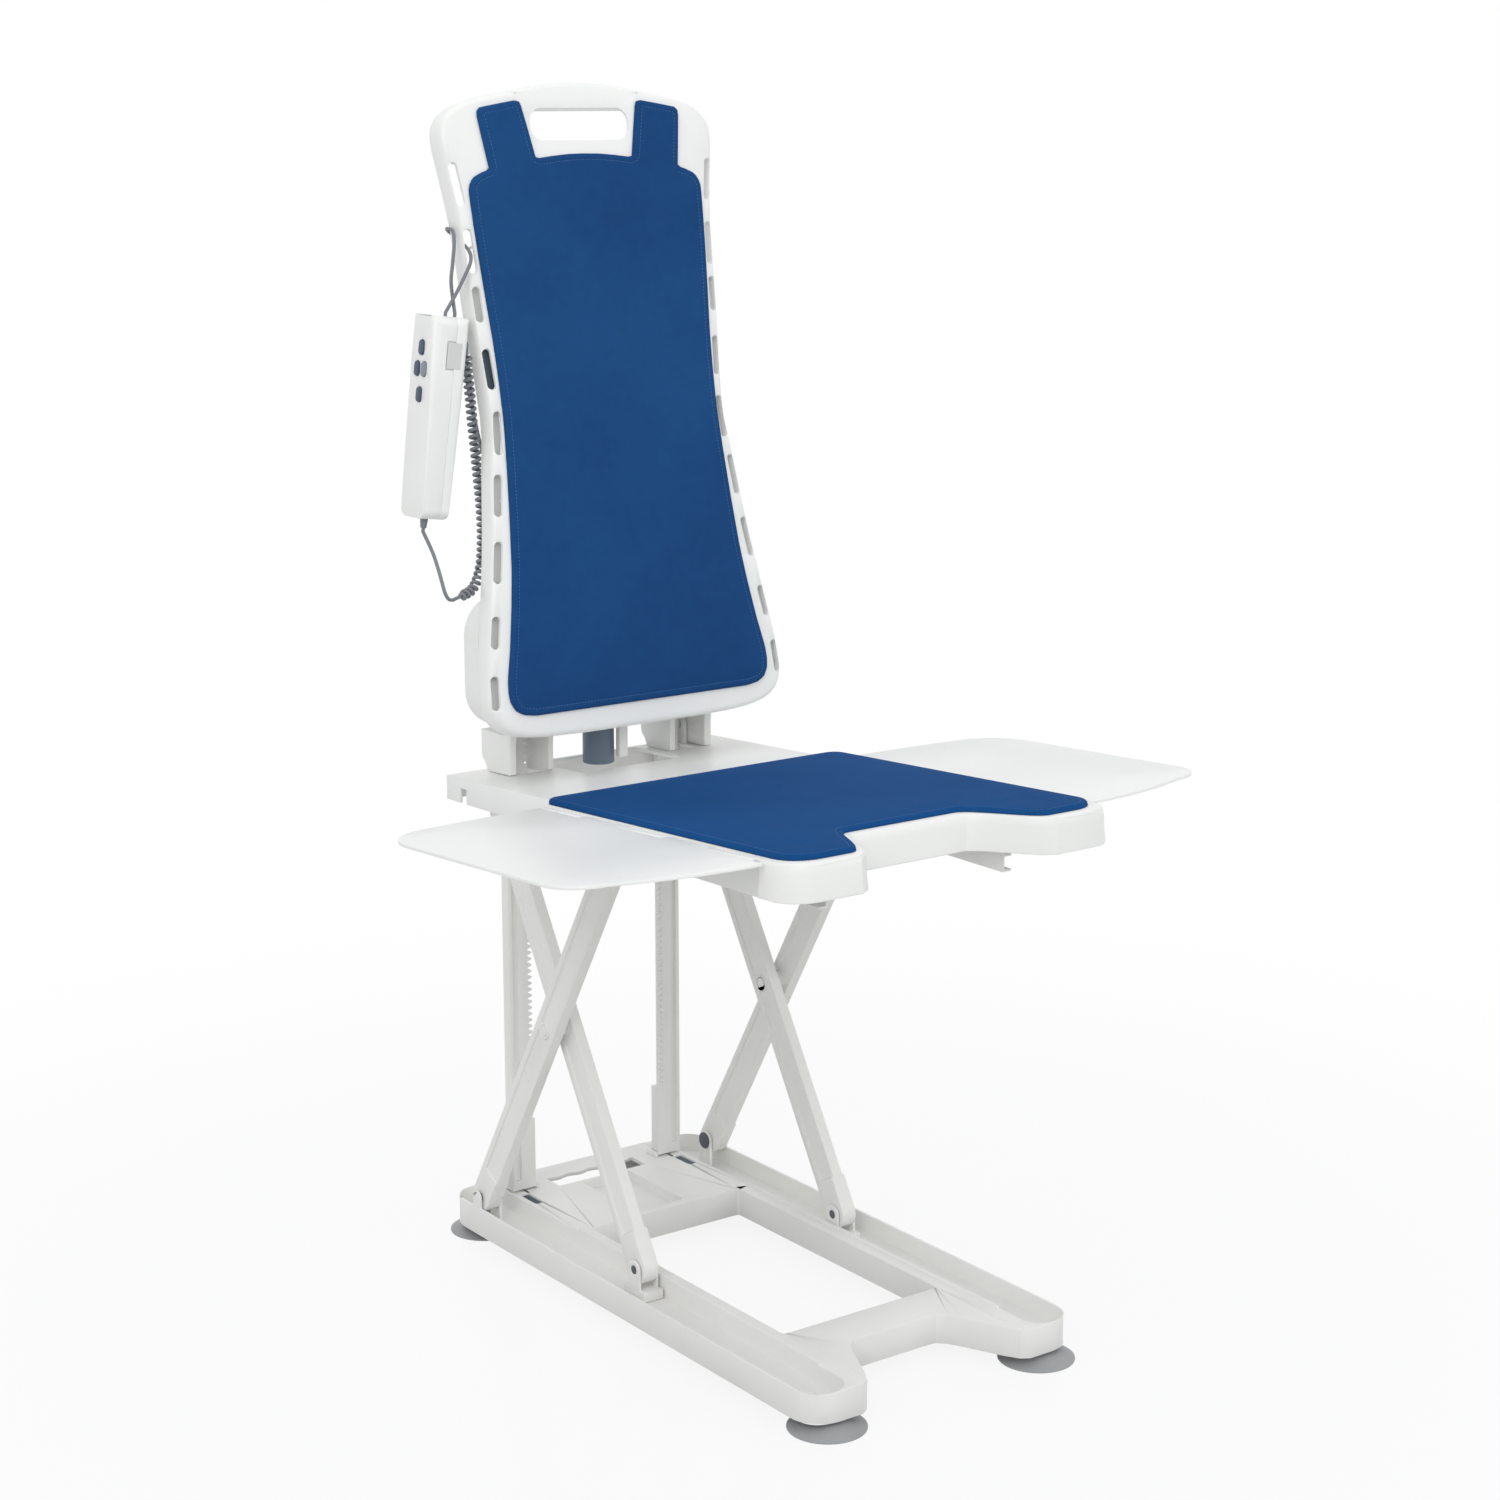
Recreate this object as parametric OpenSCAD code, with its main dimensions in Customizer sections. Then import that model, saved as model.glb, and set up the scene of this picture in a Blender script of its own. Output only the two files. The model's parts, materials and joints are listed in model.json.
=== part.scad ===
// Battery bath lift: a base on four suction cups, two scissor sides, a seat with
// folding side flaps, and a reclining backrest that carries the rack drive and the handset.
// Millimetres. +Z is up, the sitter faces -Y, and +X is to the right seen from the front.

/* [Base] */
// Length of the base frame, front to back
base_l = 597; // [585:1:610]
// Width of the base frame
base_w = 300; // [296:1:308]
// Height of the top of the base above the floor
base_top = 40; // [39:0.5:43]
// Wall thickness of the base moulding
base_wall = 3; // [2.5:0.1:3.4]
// Width of the opening between the two rails
open_w = 176; // [160:2:180]
// Length of the cross-member between the front recess and the opening
front_bar = 46.5; // [40:0.5:58]
// Length of the rear cross-member
rear_bar = 165.5; // [160:0.5:178]
// Depth of the recess in the front of the base
notch_d = 76; // [60:1:80]
// Radius of a suction cup
cup_r = 35; // [30:1:38]
// Distance of the cups from the ends of the base
cup_inset = 19.5; // [18:0.5:24]

/* [Lift linkage] */
// Width of a scissor leg
leg_w = 28; // [24:0.5:28]
// Thickness of a scissor leg
leg_t = 16; // [14:0.5:16.5]
// Slope of the legs with the seat raised, in degrees
raised_angle = 59.25; // [57:0.25:60]
// Height of the lower leg pivots
low_pivot_z = 50; // [48:0.5:52]
// Height of the upper leg pivots with the seat raised
high_pivot_z = 456; // [448:1:456]
// Distance of the rear leg pivots from the rear end of the base
pivot_inset = 54.25; // [53:0.25:56.5]
// Radius of the leg pins
leg_pin_r = 4; // [3.5:0.1:4.5]

/* [Seat] */
// Thickness of the seat plate
seat_t = 3.5; // [3:0.1:3.8]
// Backward slope of the seat, in degrees
seat_slope = 3.5; // [3:0.1:3.6]
// Height of the seat top above the middle of the base
seat_z = 489; // [489:0.5:494]
// Distance of the seat's rear edge from the rear end of the base
seat_inset = 23.5; // [17:0.5:24.5]
// Distance of the seat's front edge from the middle of the base
seat_front = 303; // [298:1:305]
// Depth of the recess in the front of the seat and its pad
recess_d = 68; // [50:1:70]
// Height of the front lip
lip_h = 32.5; // [30:0.5:36]
// Thickness of the seat and backrest pads
pad_t = 5; // [4:0.5:7]

/* [Side flaps] */
// Width of a flap from its hinge to its outer edge
flap_w = 176; // [160:2:180]
// Length of a flap, front to back
flap_l = 337; // [321:2:341]
// Thickness of a flap
flap_t = 3; // [2.5:0.5:4]

/* [Backrest] */
// Lean of the backrest with the seat upright, in degrees
back_lean = 10.45; // [9.5:0.05:11]
// Height of the backrest shell along its lean
back_h = 610; // [590:2:620]
// Width of the backrest shell at its widest
back_w = 334; // [330:1:340]
// Depth of the backrest's rim
rim_d = 22; // [20:0.5:24]
// Width of the rim seen from the front
rim_w = 12; // [11:0.5:13]
// Thickness of the backrest panel
panel_t = 3; // [2.5:0.1:3.5]
// Length of the handle opening
grip_l = 110; // [96:2:116]
// Height of the handle opening
grip_h = 30; // [26:1:32]

/* [Drive] */
// Module of the rack teeth
rack_m = 2; // [1.8:0.1:2.1]
// Teeth on a pinion
pinion_teeth = 16; // [15:1:16]
// Thickness of a rack
rack_t = 12; // [10:0.5:12.5]
// Width of the drive housing on the outside of a rack
drive_side = 28.8; // [25:0.2:32]
// Height of the drive housing
drive_h = 128; // [124:1:132]
// Radius of the motor
motor_r = 15.5; // [13:0.5:17]

/* [Handset] */
// Width of the handset across its button face
handset_w = 42; // [40:0.5:44]
// Depth of the handset at its top
handset_d = 39; // [37:0.5:41]
// Depth of the handset at its bottom
handset_low_d = 27; // [25:0.5:30]
// Height of the handset
handset_h = 186; // [176:1:190]
// Width of a button
button_w = 8.2; // [7:0.2:9]
// Height of a button
button_h = 13.6; // [12:0.2:15]

/* [Cords] */
// Diameter of the cord
cord_d = 3.4; // [3:0.1:3.6]
// Outer diameter of the curled stretch
curl_d = 10.6; // [10:0.1:11]
// Number of curls
curl_count = 42; // [30:1:42]
// Diameter of the hanging loop's cord
loop_d = 3.4; // [3:0.1:3.6]

/* [Hidden] */

$fn = 48;
white = [0.93, 0.93, 0.92];
shade = [0.83, 0.83, 0.81];
blue = [0.12, 0.29, 0.49];
dark = [0.32, 0.33, 0.35];
rubber = [0.55, 0.54, 0.52];
steel = [0.72, 0.73, 0.75];
brass = [0.76, 0.62, 0.32];

// Clearances and the overrun of cuts
over = 1;
run_gap = 0.05;
near_gap = 0.3;
slide_gap = 0.6;
side_gap = 1.5;

// Base moulding
base_under = 12;
base_corner_r = 30;
pocket_corner = 20;
open_front = base_l / 2 - notch_d - front_bar;
open_rear = base_l / 2 - rear_bar;
floor_t = 4;
floor_z = 22;
top_t = 4;
front_hollow = 12;
ridge_w = 3;
ridge_h = 2.5;
notch_flat = 45;
notch_out = 95;
notch_steps = 12;
hold_l = 104;
hold_w = 25;
hold_wave = 3;
hold_waves = 4;
hold_rim = 27.5;
joint_in = 2;
open_corner = 3;
wave_steps = 6;
tray_hw = 28;
tray_d = 10;
tray_gap = 10;
relief_l = 30;
relief_w = 10;
relief_d = 3;
relief_corner = 3;
keyhole_w = 8;
keyhole_l = 22;
lug_t = 3.4;
lug_r = 9;
outer_lug_r = 6.5;
base_cap_r = 8.5;
base_cap_t = 1.4;

// Suction cups and their studs
cup_x = 119;
cup_span_y = base_l - 2 * cup_inset;
cup_lip = 1.5;
cup_neck_r = 11;
cup_rise = 7;
stud_r = 5;
stud_head_r = 8.5;
stud_head_t = 4;
stud_bite = 6;
cup_pad_w = 5;

// Scissor legs: centre planes, pivots and length
half_w = base_w / 2;
outer_x = half_w - base_wall - side_gap - leg_t / 2;
leg_space = 5.5;
inner_x = outer_x - leg_t - leg_space;
pocket_in = inner_x - leg_t / 2 - 3 * slide_gap - base_wall;
leg_rise = high_pivot_z - low_pivot_z;
leg_len = leg_rise / sin(raised_angle);
leg_run = leg_rise / tan(raised_angle);
rear_y = base_l / 2 - pivot_inset;
front_y = rear_y - leg_run;
cross_y = rear_y - leg_run / 2;
cross_z = (low_pivot_z + high_pivot_z) / 2;
leg_rim = 7;
groove_d_share = 0.13;
groove_end = 34;
boss_r = 8.5;
leg_bore = leg_pin_r + run_gap;
cross_pin_r = 5;
cross_ring = 1.4;
cross_ring_d = 4;
shoe_l = 34;
shoe_top = 9;
shoe_wall = 2.4;
upper_shoe_l = 26;
upper_shoe_h = 11;

// Seat: slope, plan and the rails of the upper shoes
slope_rise = tan(seat_slope);
seat_rear = base_l / 2 - seat_inset;
rail_d = 10;
rail_edge = inner_x - leg_t / 2 - 3 * slide_gap;
rail_back = rail_edge - rail_d;
rail_t = 2.2;
rail_h = upper_shoe_h + 2 * near_gap + 2 * rail_t;
rail_end = 8;
rail_front = front_y - leg_run - rail_end;
plate_lap = 10;
strip_step = 4;
skirt_t = 3;
skirt_gap = 10.6;
skirt_in = outer_x + leg_t / 2 + skirt_gap;
seat_hw = skirt_in + skirt_t + plate_lap;
strip_hw = skirt_in + skirt_t - strip_step;
skirt_low = 457;
skirt_slope_share = 0.5;
strip_front = 76;
skirt_notch_w = 11;
skirt_notch_rise = 8;
lip_reach = 4.9;
lip_hw = seat_hw + lip_reach;
lip_flat = 60;
lip_out = 107;
lip_corner = 26;
lip_side = 46;
pad_in = 1.1;
pad_hw = seat_hw - pad_in;
pad_rear = 82;
pad_corner = 26;
pad_margin = 10;
pad_crown_share = 0.25;
pad_edge = 8;
strap_edge = 6;
seat_lug_t = 4;
lug_gap = 0.4;

// Recline hinge and the windows in the seat's rear strip
hinge_inset = 38.5;
hinge_y = base_l / 2 - hinge_inset;
hinge_z = 492;
hinge_r = 11;
hinge_pin_r = 5;
cheek_t = 8;
inner_cheek_t = 6;
window_behind = 9;
window_ahead = 36;
centre_window_ahead = 74;
centre_window_hw = 58;

// Flap hinge line
flap_reach = 5;
flap_axis_x = seat_hw + flap_reach;
knuckle_r = 4;
knuckle_n = 5;
flap_pin_r = 2;
flap_drop = 5;
flap_top = 4;
flap_space = 1.6;
flap_corner = 38;
flap_rear_corner = 50;
flap_rear = 69;
flap_skew = 26;
flap_rear_skew = 7;
flap_turn = 10;
flap_steps = 8;
knuckle_from = -250;
knuckle_run = 320;
flap_rib_h = 5;
flap_rib_t = 3;

// Backrest frame: a point on its front plane, then lengths along and behind it
back_ahead = 95.5;
back_y = hinge_y - back_ahead;
back_z = 551;
back_foot = -29;
panel_off = 2;
back_outline_shares = [
  [0, 0], [0.36, 0], [0.72, 0.004], [0.91, 0.018], [0.994, 0.048], [0.997, 0.089], [0.97, 0.146],
  [0.885, 0.282], [0.822, 0.418], [0.793, 0.497], [0.826, 0.649], [0.849, 0.784], [0.886, 0.861],
  [0.91, 0.916], [0.88, 0.944], [0.784, 0.965], [0.64, 0.977], [0.42, 0.988], [0.2, 0.997], [0, 1]
];
outline_steps = 3;
rim_section_shares = [
  [1, 0.136], [1, 0], [0.5, 0], [0.27, 0.04], [0.11, 0.14], [0.03, 0.29], [0, 0.46],
  [0, 1], [0.25, 1], [0.25, 0.52], [0.5, 0.28]
];
slot_place_shares = [0.079, 0.17, 0.275, 0.376, 0.47, 0.567, 0.665, 0.745, 0.846];
slot_length_shares = [0.052, 0.05, 0.064, 0.064, 0.066, 0.062, 0.054, 0.067, 0.066];
slot_w = 8;
slot_inset = 6;
grip_share = 0.9336;
grip_s = back_foot + back_h * grip_share;
grip_corner = 13;
grip_bar_t = 15;
grip_bar_d = 17;

// Backrest pad: half-width against height, and its two straps
pad_foot_share = 0.0377;
pad_top_share = 0.8852;
strap_low_share = 0.859;
strap_high_share = 0.9656;
pad_foot = back_foot + back_h * pad_foot_share;
pad_top = back_foot + back_h * pad_top_share;
strap_low = back_foot + back_h * strap_low_share;
strap_high = back_foot + back_h * strap_high_share;
pad_width_shares = [
  [0, 0.86], [0.012, 0.975], [0.04, 1], [0.126, 0.946], [0.2, 0.9], [0.263, 0.869],
  [0.35, 0.845], [0.456, 0.826], [0.54, 0.812], [0.61, 0.812], [0.66, 0.819], [0.826, 0.856],
  [0.934, 0.876], [0.958, 0.862], [0.973, 0.8], [0.981, 0.71]
];
pad_back_hw = 149;
pad_rows = 30;
pad_cols = 14;
pad_head_rise = 5;
strap_in_low = 54;
strap_in_high = 64;
strap_w = 50.5;
strap_tilt = 5;

// Racks, pinions and worm wheels
rack_y = hinge_y;
rack_step = 2;
rack_out = pocket_in - rack_step;
rack_w = 25.5;
tooth_face = 5;
rack_groove_in = 10;
rack_groove_w = 6;
rack_groove_d = 2.5;
tooth_tip = rack_out - rack_w;
rack_pitch_x = tooth_tip + rack_m;
rack_foot_z = base_top + rack_step;
rack_top_z = 586;
foot_top_z = 114;
foot_lap = 1;
socket_t = 4;
socket_h = 5;
root_share = 1.25;
tip_share = 0.95;
pressure = 20;
backlash = 0.35;
pinion_r = rack_m * pinion_teeth / 2;
pinion_x = rack_pitch_x - pinion_r;
pinion_z = 575;
shaft_r = 5;
worm_r = 6.9;
worm_ecc = 1.3;
worm_l = 52;
worm_turns = 7;
worm_slices = 8;
worm_sides = 8;
wheel_gap = 0.35;
wheel_t = 12;
wheel_teeth = 56;
wheel_tip = pinion_x - worm_r - wheel_gap;
wheel_depth = 3.6;
wheel_space = 3;
wheel_y = rack_y - rack_t / 2 - wheel_space - wheel_t / 2;
worm_y = wheel_y;

// Drive housing
drive_wall = 3;
drive_hw = rack_out + drive_side;
drive_low = 514;
drive_space = 6;
drive_rear_space = 10;
drive_front = wheel_y - wheel_t / 2 - drive_space - drive_wall;
drive_split = rack_y - rack_t / 2 - wheel_space / 2;
drive_rear = rack_y + rack_t / 2 + drive_rear_space + drive_wall;
screw_in = 15;
screw_high = 36;
screw_low = 16;
drive_corner = 38;
bush_wall = 2;
bush_l = 5;
screw_r = 2.2;
screw_head_r = 4;
screw_head_t = 2.4;
post_under = 4.5;
post_in = motor_r - post_under;
post_w = 10;
post_d = 6;
post_lap = 16;
motor_low = 470;
motor_flange_t = 5;
motor_flange_w = 1.5;
motor_flange_r = motor_r + motor_flange_w;
motor_shaft_r = 3;

// Hinge brackets behind the panel
web_high = 600;
cheek_ahead = 40;
arch_r = 45;
arch_rise = 8;
arch_turn = 10;

// Handset: place and tilt
handset_ahead = 13;
handset_place = [-176.5, hinge_y - handset_ahead, 819];
handset_tilt = 7.5;
handset_wall = 2.5;
handset_corner = 8;
handset_end_r = 9;
handset_split = 5;
button_rows = [63, 43.5, 20];
button_side = 6;
button_corner = 3.6;
button_proud = 1.6;
button_travel = 1.4;
recess_size = [9, 1.2, 26];
recess_rise = 58;
battery_size = [14, 28, 96];
battery_drop = 32;
board_t = 1.6;
board_size_z = 66;
board_rise = 42;
gland_r = 4.2;
gland_l = 12;

// Cord routes: points chosen by hand for a hinge at route_y, and moved with it
cord_sides = 8;
curl_sides = 6;
route_y = 260;
loop_points = [
  [-154, 240.5, 930], [-146, 237.5, 946], [-139, 237, 960], [-135.5, 245, 969], [-135, 259, 976],
  [-136.5, 270, 982], [-141.5, 273, 987], [-145.8, 266, 989], [-146.6, 255, 987], [-149, 249, 976],
  [-152, 247.5, 958], [-154, 247.5, 940]
];
loop_feet = [3, 13];
lead_high_points = [
  [-60, 270, 690], [-78, 279, 725], [-100, 280, 765], [-114, 279, 815], [-125, 277, 862],
  [-133, 274, 888], [-140, 264, 900], [-142.5, 252, 897]
];
lead_low_points = [
  [-181, 211.6, 653.6], [-187.2, 208.6, 655.6], [-191.2, 208, 662], [-192.2, 211.2, 671.5],
  [-191.6, 219, 683.5], [-190.6, 230, 697]
];
function routed(points) = [for (p = points) p + [0, hinge_y - route_y, 0]];
curl_points = routed([
  [-142.8, 241, 878], [-143.2, 240, 861], [-141, 240, 838], [-139.2, 240, 815], [-137.5, 239, 792],
  [-136.5, 237, 768], [-135.5, 235, 745], [-135.2, 233, 722], [-136.5, 231, 699], [-141, 228, 677],
  [-153, 222, 660], [-172, 215, 655]
]);
curl_points_n = len(curl_points);

function slope_z(y) = seat_z - slope_rise * y;
function skirt_z(y) = skirt_low - skirt_slope_share * slope_rise * y;
function panel_y(z) = back_y + (z - back_z) * tan(back_lean) + (panel_off + panel_t) / cos(back_lean);
function ease(t) = t <= 0 ? 0 : t >= 1 ? 1 : t * t * (3 - 2 * t);
function recess(x, flat, out, depth) = depth * (1 - ease((abs(x) - flat) / (out - flat)));

// Points of a smooth curve through given points
function curve_point(a, b, c, d, t) =
  0.5 * (2 * b + (c - a) * t + (2 * a - 5 * b + 4 * c - d) * t * t + (3 * b - a - 3 * c + d) * t * t * t);
function curve(p, steps) = [
  for (i = [0:len(p) - 2])
    for (k = [0:steps - 1])
      curve_point(p[max(i - 1, 0)], p[i], p[i + 1], p[min(i + 2, len(p) - 1)], k / steps),
  p[len(p) - 1]
];
function unit(v) = v / norm(v);
function tangent(p, i) = unit(p[min(i + 1, len(p) - 1)] - p[max(i - 1, 0)]);
function across(t) = unit(cross(t, abs(t[2]) > 0.9 ? [1, 0, 0] : [0, 0, 1]));

module box(lo, hi) {
  translate(lo) cube(hi - lo);
}

module rod_x(r, x0, x1, y, z) {
  translate([x0, y, z]) rotate([0, 90, 0]) cylinder(r = r, h = x1 - x0);
}

module rod_y(r, y0, y1, x, z) {
  translate([x, y0, z]) rotate([-90, 0, 0]) cylinder(r = r, h = y1 - y0);
}

module on_side(side) {
  mirror([side < 0 ? 1 : 0, 0, 0]) children();
}

module both_sides() {
  for (side = [-1, 1]) on_side(side) children();
}

module round_rect(lo, hi, r) {
  translate([lo[0] + r, lo[1]]) square([hi[0] - lo[0] - 2 * r, hi[1] - lo[1]]);
  translate([lo[0], lo[1] + r]) square([hi[0] - lo[0], hi[1] - lo[1] - 2 * r]);
  for (x = [lo[0] + r, hi[0] - r]) for (y = [lo[1] + r, hi[1] - r]) translate([x, y]) circle(r);
}

// A profile given in Y and Z, drawn out along X
module along_x(x0, x1) {
  translate([x0, 0, 0]) rotate([90, 0, 90]) linear_extrude(x1 - x0) children();
}

// A profile given in X and Z, drawn out along Y
module along_y(y0, y1) {
  translate([0, y1, 0]) rotate([90, 0, 0]) linear_extrude(y1 - y0) children();
}

module at_back() {
  translate([0, back_y, back_z]) rotate([-back_lean, 0, 0]) children();
}

module at_handset() {
  translate(handset_place) rotate([0, handset_tilt, 0]) children();
}

// A tube swept along points, as one closed skin
module tube(p, r, sides) {
  n = len(p);
  points = [
    for (i = [0:n - 1])
      let (t = tangent(p, i), a = across(t), b = cross(t, a))
        for (k = [0:sides - 1]) p[i] + r * (cos(360 * k / sides) * a + sin(360 * k / sides) * b)
  ];
  walls = [
    for (i = [0:n - 2])
      for (k = [0:sides - 1])
        let (k2 = (k + 1) % sides, c = i * sides, d = c + sides)
          each [[c + k, d + k2, c + k2], [c + k, d + k, d + k2]]
  ];
  polyhedron(points, concat(walls, [[for (k = [0:sides - 1]) k]],
    [[for (k = [sides - 1:-1:0]) (n - 1) * sides + k]]), convexity = 6);
}

// A padded sheet over a grid: rows of points along one way, crowned towards its middle
module padded_sheet(front, back, rows, cols) {
  count = rows * cols;
  top = [
    for (i = [0:rows - 2]) for (j = [0:cols - 2])
      let (a = i * cols + j, b = a + 1, c = a + cols, d = c + 1) each [[a, b, d], [a, d, c]]
  ];
  bottom = [for (f = top) [f[2] + count, f[1] + count, f[0] + count]];
  edge = concat(
    [for (j = [0:cols - 1]) j],
    [for (i = [1:rows - 1]) i * cols + cols - 1],
    [for (j = [cols - 2:-1:0]) (rows - 1) * cols + j],
    [for (i = [rows - 2:-1:1]) i * cols]
  );
  side = [
    for (k = [0:len(edge) - 1])
      let (a = edge[k], b = edge[(k + 1) % len(edge)]) each [[b, a, a + count], [b, a + count, b + count]]
  ];
  polyhedron(concat(front, back), concat(top, bottom, side), convexity = 4);
}

function bow(t, edge) = sqrt(max(0, 1 - pow(abs(2 * t - 1), edge)));
function crown(u, v, edge) = bow(u, edge) * bow(v, edge);
function crowned(u, v) = pad_t * (1 - 2 * pad_crown_share * (1 - crown(u, v, pad_edge)));

// Base moulding
module notch_cut(edge, flat, out, depth) {
  polygon(concat(
    [for (i = [-notch_steps:notch_steps])
      let (x = out * i / notch_steps) [x, -edge + recess(x, flat, out, depth)]],
    [[out, -edge - over], [-out, -edge - over]]
  ));
}

module base_plan() {
  difference() {
    round_rect([-half_w, -base_l / 2], [half_w, base_l / 2], base_corner_r);
    notch_cut(base_l / 2, notch_flat, notch_out, notch_d);
    round_rect([-open_w / 2, -open_front], [open_w / 2, open_rear], open_corner);
  }
}

module pocket_plan() {
  end = base_l / 2 - base_wall;
  round_rect([pocket_in, -end], [half_w - base_wall, end], pocket_corner);
}

module hand_hold() {
  rear = base_l / 2 - hold_rim;
  polygon(concat(
    [for (i = [0:hold_waves * wave_steps])
      let (t = i / (hold_waves * wave_steps))
        [hold_l * (t - 1 / 2), rear - hold_wave * pow(sin(180 * hold_waves * t), 2)]],
    [[hold_l / 2, rear - hold_w], [-hold_l / 2, rear - hold_w]]
  ));
}

// Sunk tray that leaves room for the motor
module tray(wall, top) {
  rear = base_l / 2 - hold_rim - hold_w - tray_gap / 2;
  box([-tray_hw - wall, open_rear + tray_gap - wall, base_top - tray_d - wall],
      [tray_hw + wall, rear + wall, top]);
}

// Fine joints between the rails and the two cross-members
module rail_joint() {
  x = open_w / 2 - joint_in;
  box([x, -base_l, 0], [x + run_gap, -open_front + over, base_l]);
  box([x, open_rear - over, 0], [x + run_gap, base_l, base_l]);
}

module base_frame() {
  hollow_rear = base_l / 2 - base_wall;
  color(shade) difference() {
    union() {
      translate([0, 0, base_under]) linear_extrude(base_top - base_under) base_plan();
      both_sides() {
        ridge_end = base_l / 2 - base_corner_r - keyhole_l;
        box([pocket_in - ridge_w, -ridge_end, base_top - over],
            [pocket_in, open_rear, base_top + ridge_h]);
        outer_lug();
      }
    }
    both_sides() {
      translate([0, 0, floor_z]) linear_extrude(base_top) pocket_plan();
      translate([0, 0, base_under - over])
        linear_extrude(floor_z - floor_t - base_under + over) pocket_plan();
      box([open_w / 2 + base_wall, -open_front, base_under - over],
          [pocket_in - base_wall, open_rear, base_top - top_t]);
      for (end = [-1, 1]) {
        translate([cup_x, end * cup_span_y / 2, 0]) cylinder(r = stud_r + near_gap, h = base_top);
        key_mid = end * (cup_span_y - keyhole_l) / 2;
        box([cup_x - keyhole_w / 2, key_mid - keyhole_l / 2, floor_z - floor_t - over],
            [cup_x + keyhole_w / 2, key_mid + keyhole_l / 2, floor_z + over]);
      }
      relief_x = (tooth_tip + 2 * rack_out) / 3;
      relief_y = rack_y - rack_t - relief_l;
      translate([relief_x - relief_w / 2, relief_y, base_top - relief_d]) linear_extrude(base_top)
        round_rect([0, 0], [relief_w, relief_l], relief_corner);
      rail_joint();
    }
    difference() {
      box([-open_w / 2, open_rear + base_wall, base_under - over],
          [open_w / 2, hollow_rear, base_top - top_t]);
      tray(base_wall, base_top);
    }
    tray(0, base_top + over);
    box([-hold_l / 2, hollow_rear - over, base_under - over],
        [hold_l / 2, base_l / 2 + over, base_top - top_t]);
    box([-notch_flat, -open_front - base_wall - front_hollow, base_under - over],
        [notch_flat, -open_front - base_wall, base_top - top_t]);
    translate([0, 0, base_under]) linear_extrude(base_top) hand_hold();
  }
  color(shade) both_sides() difference() {
    inner_lug();
    rod_x(leg_pin_r, pocket_in, half_w, rear_y, low_pivot_z);
  }
}

module lug(x0, x1, r) {
  box([x0, rear_y - r, floor_z - over], [x1, rear_y + r, low_pivot_z]);
  rod_x(r, x0, x1, rear_y, low_pivot_z);
}

module inner_lug() {
  lug(outer_x - leg_t / 2 - lug_gap - lug_t, outer_x - leg_t / 2 - lug_gap, lug_r);
}

module outer_lug() {
  lug(half_w - base_wall, half_w, outer_lug_r);
}

module base_pins() {
  lug_in = outer_x - leg_t / 2 - lug_gap - lug_t;
  color(dark) both_sides() {
    rod_x(leg_pin_r, lug_in, half_w - base_wall, rear_y, low_pivot_z);
    rod_x(base_cap_r, lug_in - base_cap_t, lug_in, rear_y, low_pivot_z);
  }
}

// Suction cups
module cup(side, end) {
  neck_top = floor_z - floor_t;
  color(rubber) translate([side * cup_x, end * cup_span_y / 2, 0]) difference() {
    rotate_extrude($fn = 64) polygon([
      [cup_r - cup_pad_w, 0], [cup_r, 0], [cup_r, cup_lip], [cup_r - cup_pad_w, cup_lip + cup_lip],
      [cup_r / 2, cup_rise + cup_lip], [cup_neck_r, cup_rise + 2 * cup_lip], [cup_neck_r, neck_top],
      [0, neck_top], [0, cup_rise - cup_lip], [cup_r / 2, cup_rise - cup_lip]
    ]);
    translate([0, 0, neck_top - stud_bite]) cylinder(r = stud_r + run_gap, h = stud_bite + over);
  }
}

module cup_studs() {
  color(shade) both_sides() for (end = [-1, 1]) translate([cup_x, end * cup_span_y / 2, 0]) {
    stud_foot = floor_z - floor_t - stud_bite;
    translate([0, 0, stud_foot]) cylinder(r = stud_r, h = floor_z - stud_foot + stud_head_t);
    translate([0, 0, floor_z])
      cylinder(r1 = stud_head_r, r2 = stud_head_r - stud_head_t / 2, h = stud_head_t);
  }
}

// Sockets that the rack feet stand in, open to the front
module rack_socket(side) {
  rear = rack_y + rack_t / 2 + foot_lap + near_gap;
  color(shade) on_side(side) {
    box([tooth_tip - foot_lap - near_gap - socket_t, rack_y - rack_t / 2, base_top],
        [tooth_tip - foot_lap - near_gap, rear + socket_t, base_top + socket_h]);
    box([tooth_tip - foot_lap - near_gap, rear, base_top], [rack_out, rear + socket_t, base_top + socket_h]);
  }
}

// Scissor legs, drawn upright from their first pivot and then laid over: a rim along the rear edge,
// both sides sunk in front of it, and a boss at the crossing
module leg_bar(ring_side) {
  groove_d = leg_t * groove_d_share;
  difference() {
    union() {
      box([-leg_t / 2, -leg_w / 2, 0], [leg_t / 2, leg_w / 2, leg_len]);
      rod_x(leg_w / 2, -leg_t / 2, leg_t / 2, 0, 0);
      rod_x(leg_w / 2, -leg_t / 2, leg_t / 2, 0, leg_len);
    }
    for (face = [-leg_t / 2 - over, leg_t / 2 - groove_d]) difference() {
      box([face, -leg_w / 2 - over, groove_end],
          [face + groove_d + over, leg_w / 2 - leg_rim, leg_len - groove_end]);
      rod_x(boss_r, -leg_t, leg_t, 0, leg_len / 2);
    }
    for (at = [0, leg_len]) rod_x(leg_bore, -leg_t, leg_t, 0, at);
    rod_x(cross_pin_r + run_gap, -leg_t, leg_t, 0, leg_len / 2);
    if (ring_side) rod_x(cross_pin_r + cross_ring, -leg_t, cross_ring_d - leg_t / 2, 0, leg_len / 2);
  }
}

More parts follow.
